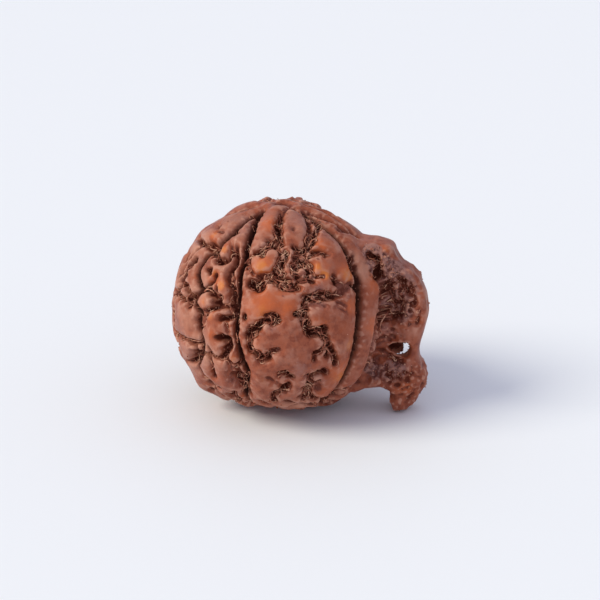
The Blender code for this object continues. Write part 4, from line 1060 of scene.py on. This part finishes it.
warmth = (warm * 0.9 + (broad - 0.5) * 1.4 + (mottle - 0.5) * 0.8).held(0.2, 0.9)
roseate = (patchy + (broad - 0.5) * 0.8).held(0.5, 0.68)
dust = (dusty * 0.75 + (patchy - 0.5) * 0.9 + (grain - 0.5) * 0.7).held(0.25, 0.8)
colour = shade.blend(mottle.held(0.38, 0.66), RED_BROWN, DEEP_RED)
colour = shade.blend(roseate * 0.6, colour, ROSE_BROWN)
# Paler tan in these patches: partly wear, partly painted light.
colour = shade.blend((worn_and_lit + (patchy - 0.5) * 0.6).held(0.0, 0.8) * 0.85, colour, POLISHED_AND_LIT_TAN)
flat = 1.0 - (0.0 - proud).held(0.0, 0.07)
colour = shade.blend(warmth * (1.0 - 0.8 * dust) * flat, colour, ORANGE)
colour = shade.blend(dust * 0.85, colour, DUSTY_MAUVE)
colour = shade.blend((glow + (mottle - 0.5) * 0.6).held(0.3, 0.85) * 0.9 * flat, colour, BRIGHT_ORANGE)
colour = shade.blend(grain.held(0.54, 0.72) * (0.08 + 0.35 * dust), colour, WORN_TAN_AND_HIGHLIGHT)
# On the coarse parts of the crest the grains are pale and the gaps between them dark: partly real mottle,
# partly a painted highlight on what stands up and painted shade in what lies low.
caked_mottle_and_relief_shade = (grain * 0.9 + fine * 0.4 + proud * 2.0).held(0.52, 0.8)
caked = shade.blend(caked_mottle_and_relief_shade, CAKED_DARK_AND_SHADE, CAKED_PALE_AND_HIGHLIGHT)
colour = shade.blend((coarse * 1.3 + (patchy - 0.5) * 0.8).held(0.4, 0.9), colour, caked)
# Along convex edges the skin turns pale tan: partly wear, partly a painted highlight.
painted_edge_highlight = edge.held(0.02, 0.06)
colour = shade.blend(painted_edge_highlight * (0.2 + patchy * 0.9) * (1.0 - coarse * 0.7), colour, WORN_TAN_AND_HIGHLIGHT)
# Painted shade: a dark brown halo where the surface is concave and sunk, round the pits and along the
# hollows.
painted_shade_round_pits = ((0.0 - proud).held(0.01, 0.1) * 0.6 + sunk.held(0.12, 0.5) * 0.6).held(0.0, 1.0)
colour = shade.blend(painted_shade_round_pits * 0.8, colour, PAINTED_SHADE_BROWN)
deep = sunk.held(0.3, 0.8)
# Deep in the hollows the colour turns to the pits' own dark brown, with painted shade in their concave
# folds and tan where clumps of pulp stand up.
pit_shade_and_clumps = shade.blend((proud + (grain - 0.5) * 0.2).held(-0.02, 0.07), PIT_BROWN_AND_SHADE, CLUMP_TAN)
colour = shade.blend(deep, colour, pit_shade_and_clumps)
# Painted shade: the deep parts of the clefts are coloured nearly black.
colour = shade.blend(cleft * sunk.held(0.3, 0.8) * 0.8, colour, CLEFT_PAINTED_SHADE)
flecks = shade.specks(0.5, 0.17) * grain.held(0.48, 0.62)
colour = shade.blend(flecks * (0.1 + trunk * 0.6 + dust * 0.3 + coarse * 0.3), colour, SPECK)
feed(husk, surface, "Base Color", colour)
dull = (dust * 0.5 + deep * 0.6 + trunk * 0.4 + (grain - 0.5) * 0.4).held(0.0, 0.9)
feed(husk, surface, "Roughness", 0.4 + dull * 0.5)
swell = patchy * 0.35 + mottle * 0.22 + grain * (0.08 + 0.12 * dull) + fine * (0.03 + 0.1 * dull)
bump = shade.node("ShaderNodeBump", {}, {"Strength": 0.6, "Distance": 0.35 * MM, "Height": swell}, "Normal")
feed(husk, surface, "Normal", bump)
surface.inputs["Specular IOR Level"].default_value = 0.22
stone.data.materials.clear()
stone.data.materials.append(husk)
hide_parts("rudraksha_seed")
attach(stone, "root")


# Dried pulp left in the pits and clefts: a mat of stiff threads that lie over and round each
# other, about a seventh of a millimetre thick, with finer ones between them and one loose pale
# hair on the crest.
FIBRE_SEED = 11
FIBRE_STEP_LENGTH = 0.16
FIBRES_PER_MM = {"front": 2.2, "left": 0.6, "others": 1.4, "clefts": 0.12, "crest": 0.35}
STOUT_RADIUS = 0.072
STOUT_STEPS = (4, 11)
FINE_RADIUS = 0.045
FINE_STEPS = (3, 7)
FINE_TO_STOUT = 2.2
HOLLOW_FROM = -0.32
LOWEST_FIBRE = 1.0
TURNS_TO_TRY = (-0.8, 0.8, -1.6, 1.6)
FULL_TURN = 6.283
SHARPEST_TURN = 0.5
STEEPEST_CLIMB = 0.1
FIRST_LIFTS = (0.1, 0.8)
LEAST_LIFT = 0.05
MOST_LIFT = 0.9

# The loose hair: distance from the axis, height, and how far it stands off the crest's side.
LOOSE_HAIR = [
    (12.3, 13.1, 0.05), (11.95, 12.6, 0.3), (11.6, 12.0, 0.35), (11.5, 11.3, 0.3), (11.7, 10.6, 0.1),
]


def under_skin(point):
    """The nearest place on the skin, the way out of it and how far the carving lies below it."""
    place, normal, face, _ = blank_tree.find_nearest(Vector(point))
    return place, normal, face_skins[face], face_depths[face]


def thread_path(draw, start, width, steps):
    """A thread that wanders over the bottom of a hollow and turns back from its walls."""
    place, out, top, depth = under_skin(start)
    heading = Matrix.Rotation(draw.uniform(0.0, FULL_TURN), 3, out) @ out.orthogonal().normalized()
    place, out, top, depth = under_skin(place + heading * draw.uniform(0.0, width))
    if depth > HOLLOW_FROM or place.z < LOWEST_FIBRE:
        return []
    lift = draw.uniform(*FIRST_LIFTS)
    climb = draw.uniform(-0.08, 0.08)
    turning = draw.uniform(-0.3, 0.3)
    path = [place + out * (top + (1.0 - lift) * depth)]
    for _ in range(steps):
        turning = 0.85 * turning + draw.uniform(-0.3, 0.3)
        turning = max(-SHARPEST_TURN, min(SHARPEST_TURN, turning))
        for turn in (turning, *TURNS_TO_TRY):
            ahead = Matrix.Rotation(turn, 3, out) @ heading
            ahead = (ahead - ahead.dot(out) * out).normalized()
            next_place, next_out, next_top, next_depth = under_skin(place + ahead * FIBRE_STEP_LENGTH)
            if next_depth < HOLLOW_FROM:
                break
        else:
            break
        place, out, heading = next_place, next_out, ahead
        top += 0.5 * (next_top - top)
        depth += 0.5 * (next_depth - depth)
        climb += draw.uniform(-0.06, 0.06)
        climb = max(-STEEPEST_CLIMB, min(STEEPEST_CLIMB, climb))
        lift = max(LEAST_LIFT, min(MOST_LIFT, lift + climb))
        path.append(place + out * (top + (1.0 - lift) * depth))
    return path if len(path) > 2 else []


def threads_along(draw, strokes, per_mm, steps):
    """Threads strewn along these hollows, more of them where a hollow is wide."""
    paths = []
    for stroke in strokes:
        for (start, start_width), (end, end_width) in zip(stroke, stroke[1:]):
            length = np.linalg.norm(end - start)
            count = length * per_mm * (0.4 + start_width + end_width)
            for _ in range(int(count + draw.random())):
                share = draw.random()
                width = start_width + share * (end_width - start_width)
                path = thread_path(draw, start + share * (end - start), width, draw.randint(*steps))
                if path:
                    paths.append(path)
    return paths


def spun(name, draw, paths, radius):
    """Round threads of uneven girth along these paths, as one mesh."""
    curve = bpy.data.curves.new(name, "CURVE")
    curve.dimensions = "3D"
    curve.bevel_depth = radius * MM
    curve.bevel_resolution = 0
    curve.use_fill_caps = True
    for path in paths:
        spline = curve.splines.new("POLY")
        spline.points.add(len(path) - 1)
        girth = draw.uniform(0.65, 1.35)
        for index, (point, centre) in enumerate(zip(spline.points, path)):
            share = index / (len(path) - 1)
            point.co = (*(centre * MM), 1.0)
            taper = 0.5 + 0.5 * np.sin(np.pi * min(1.0, share + 0.15))
            point.radius = girth * taper * draw.uniform(0.85, 1.15)
    threads = bpy.data.objects.new(name, curve)
    bpy.context.scene.collection.objects.link(threads)
    pick_only(threads)
    bpy.ops.object.convert(target="MESH")
    bpy.ops.object.shade_smooth()
    return bpy.context.object


face_skins = [skin[face].mean() for face in blank_faces]
face_depths = [(heights - skin)[face].mean() for face in blank_faces]
hollows = {
    "front": body_strokes(FRONT_PITS + FRONT_LOWS),
    "left": body_strokes(LEFT_PITS + LEFT_LOWS),
    "others": pit_strokes[len(FRONT_PITS) + len(LEFT_PITS):],
    "clefts": cleft_strokes,
    "crest": crest_strokes(CREST_PITS) + crest_strokes(CREST_LOWS),
}
draw = random.Random(FIBRE_SEED)
stout_paths = []
fine_paths = []
for kind, strokes in hollows.items():
    stout_paths += threads_along(draw, strokes, FIBRES_PER_MM[kind], STOUT_STEPS)
stout_paths.append([Vector(on_crest(reach, up, 1)) + lift * CREST_SIDE for reach, up, lift in LOOSE_HAIR])
for kind, strokes in hollows.items():
    fine_paths += threads_along(draw, strokes, FINE_TO_STOUT * FIBRES_PER_MM[kind], FINE_STEPS)

FIBRE_PALE = (0.72, 0.4, 0.26, 1.0)
FIBRE_TAN = (0.43, 0.145, 0.082, 1.0)
FIBRE_BROWN = (0.24, 0.06, 0.033, 1.0)

dried_pulp, surface, shade = new_finish("dried_pulp")
per_thread = shade.cloudy(0.8, 1.0, 0.5, 0.05)
along = shade.cloudy(0.2, 2.0, 0.5, 0.06)
colour = shade.blend(per_thread.held(0.38, 0.62), FIBRE_BROWN, FIBRE_TAN)
colour = shade.blend((per_thread * 0.6 + along * 0.5).held(0.53, 0.72), colour, FIBRE_PALE)
feed(dried_pulp, surface, "Base Color", colour)
surface.inputs["Roughness"].default_value = 0.5
surface.inputs["Specular IOR Level"].default_value = 0.25
mats = [("fibres", stout_paths, STOUT_RADIUS), ("fine_fibres", fine_paths, FINE_RADIUS)]
for name, paths, radius in mats:
    threads = spun(name, draw, paths, radius)
    threads.data.materials.clear()
    threads.data.materials.append(dried_pulp)
    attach(threads, "root")


# Crumbs of dust and pulp, a tenth or two of a millimetre across, caught in the pits, on the trunk
# and on the coarse sides of the crest, and rounder clods of pulp stuck in the widest hollows.
CRUMB_SEED = 23
CRUMBS = 3600
CRUMB_RADII = (0.03, 0.1)
SMALL_CLODS = 170
SMALL_CLOD_RADII = (0.09, 0.19)
LOWEST_CRUMB = 0.3
DEEP_ENOUGH = 0.5
CRUMB_BROWN = (0.27, 0.085, 0.055, 1.0)
CRUMB_TAN = (0.55, 0.27, 0.18, 1.0)

# The larger clods: longitude, latitude, radius.
LARGE_CLODS = [
    (4.2, 40.9, .3), (13.1, 36.5, .34), (25, 42.3, .3), (18.6, 34.3, .26), (8.3, 33.2, .24),
    (.6, 36.9, .26), (16, 45.5, .26), (1.5, 46, .2), (22, 47.5, .24), (-4, 41, .2), (24.5, 23.4, .22),
    (18, 23.6, .26), (12, 12.5, .24),
]


def strewn(draw, count, chance):
    """Where on the stone so many lumps lie, and the way out of it there."""
    chosen = draw.choice(len(stone_points), count, replace=False, p=chance / chance.sum())
    return stone_points[chosen], stone_normals[chosen]


def lumps_of_pulp(draw, name, rounds, places, outward, sizes):
    """Small uneven balls, half sunk into the ground they lie on, as one mesh."""
    bpy.ops.object.select_all(action="DESELECT")
    bpy.ops.mesh.primitive_ico_sphere_add(subdivisions=rounds, radius=MM)
    lumps = bpy.context.object
    lumps.name = name
    ball = read_vectors(lumps.data, "co") / MM
    ball_faces = np.array([list(face.vertices) for face in lumps.data.polygons])
    corners = []
    faces = []
    for index, (place, way, size) in enumerate(zip(places, outward, sizes)):
        dents = 1.0 + 0.35 * noise_field(ball, 0.6, index)[:, None]
        uneven = ball * draw.uniform(0.65, 1.35, size=3) * dents
        faces.append(ball_faces + index * len(ball))
        corners.append(place + 0.35 * size * way + size * uneven)
    lumps.data.clear_geometry()
    lumps.data.from_pydata(np.concatenate(corners) * MM, [], np.concatenate(faces).tolist())
    lumps.data.update()
    return lumps


draw = np.random.default_rng(CRUMB_SEED)
standing = stone_points[:, 2] > LOWEST_CRUMB
caked = stone_shares["coarse"] ** 3
in_hollows = np.clip((stone_shares["sunk"] - 0.25) / 0.3, 0.0, 1.0)
chance = 0.01 + 0.15 * stone_shares["trunk"] + 0.05 * stone_shares["dusty"] + caked + 0.2 * in_hollows
crumb_places, crumb_normals = strewn(draw, CRUMBS, chance * standing)
crumb_sizes = draw.uniform(*CRUMB_RADII, size=CRUMBS)
crumbs = lumps_of_pulp(draw, "crumbs", 1, crumb_places, crumb_normals, crumb_sizes)

in_pits = (stone_shares["sunk"] > DEEP_ENOUGH) * (stone_shares["cleft"] < 0.3)
clod_places, clod_normals = strewn(draw, SMALL_CLODS, standing * (in_pits + 2.5 * caked))
clod_places = list(clod_places)
clod_normals = list(clod_normals)
for lon, lat, radius in LARGE_CLODS:
    place, out, top, depth = under_skin(on_body(lon, lat))
    clod_places.append(np.array(place + out * (top + min(-0.35, 0.5 * depth))))
    clod_normals.append(np.array(out))
clod_sizes = list(draw.uniform(*SMALL_CLOD_RADII, size=SMALL_CLODS)) + [size for _, _, size in LARGE_CLODS]
clods = lumps_of_pulp(draw, "clods", 2, clod_places, clod_normals, clod_sizes)
pick_only(clods)
bpy.ops.object.shade_smooth()

crumb_finish, surface, shade = new_finish("crumb")
tint = shade.cloudy(0.5, 2.0, 0.6, 0.08)
feed(crumb_finish, surface, "Base Color", shade.blend(tint.held(0.42, 0.68), CRUMB_BROWN, CRUMB_TAN))
surface.inputs["Roughness"].default_value = 0.7
surface.inputs["Specular IOR Level"].default_value = 0.2
for lumps in (crumbs, clods):
    lumps.data.materials.clear()
    lumps.data.materials.append(crumb_finish)
    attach(lumps, "root")
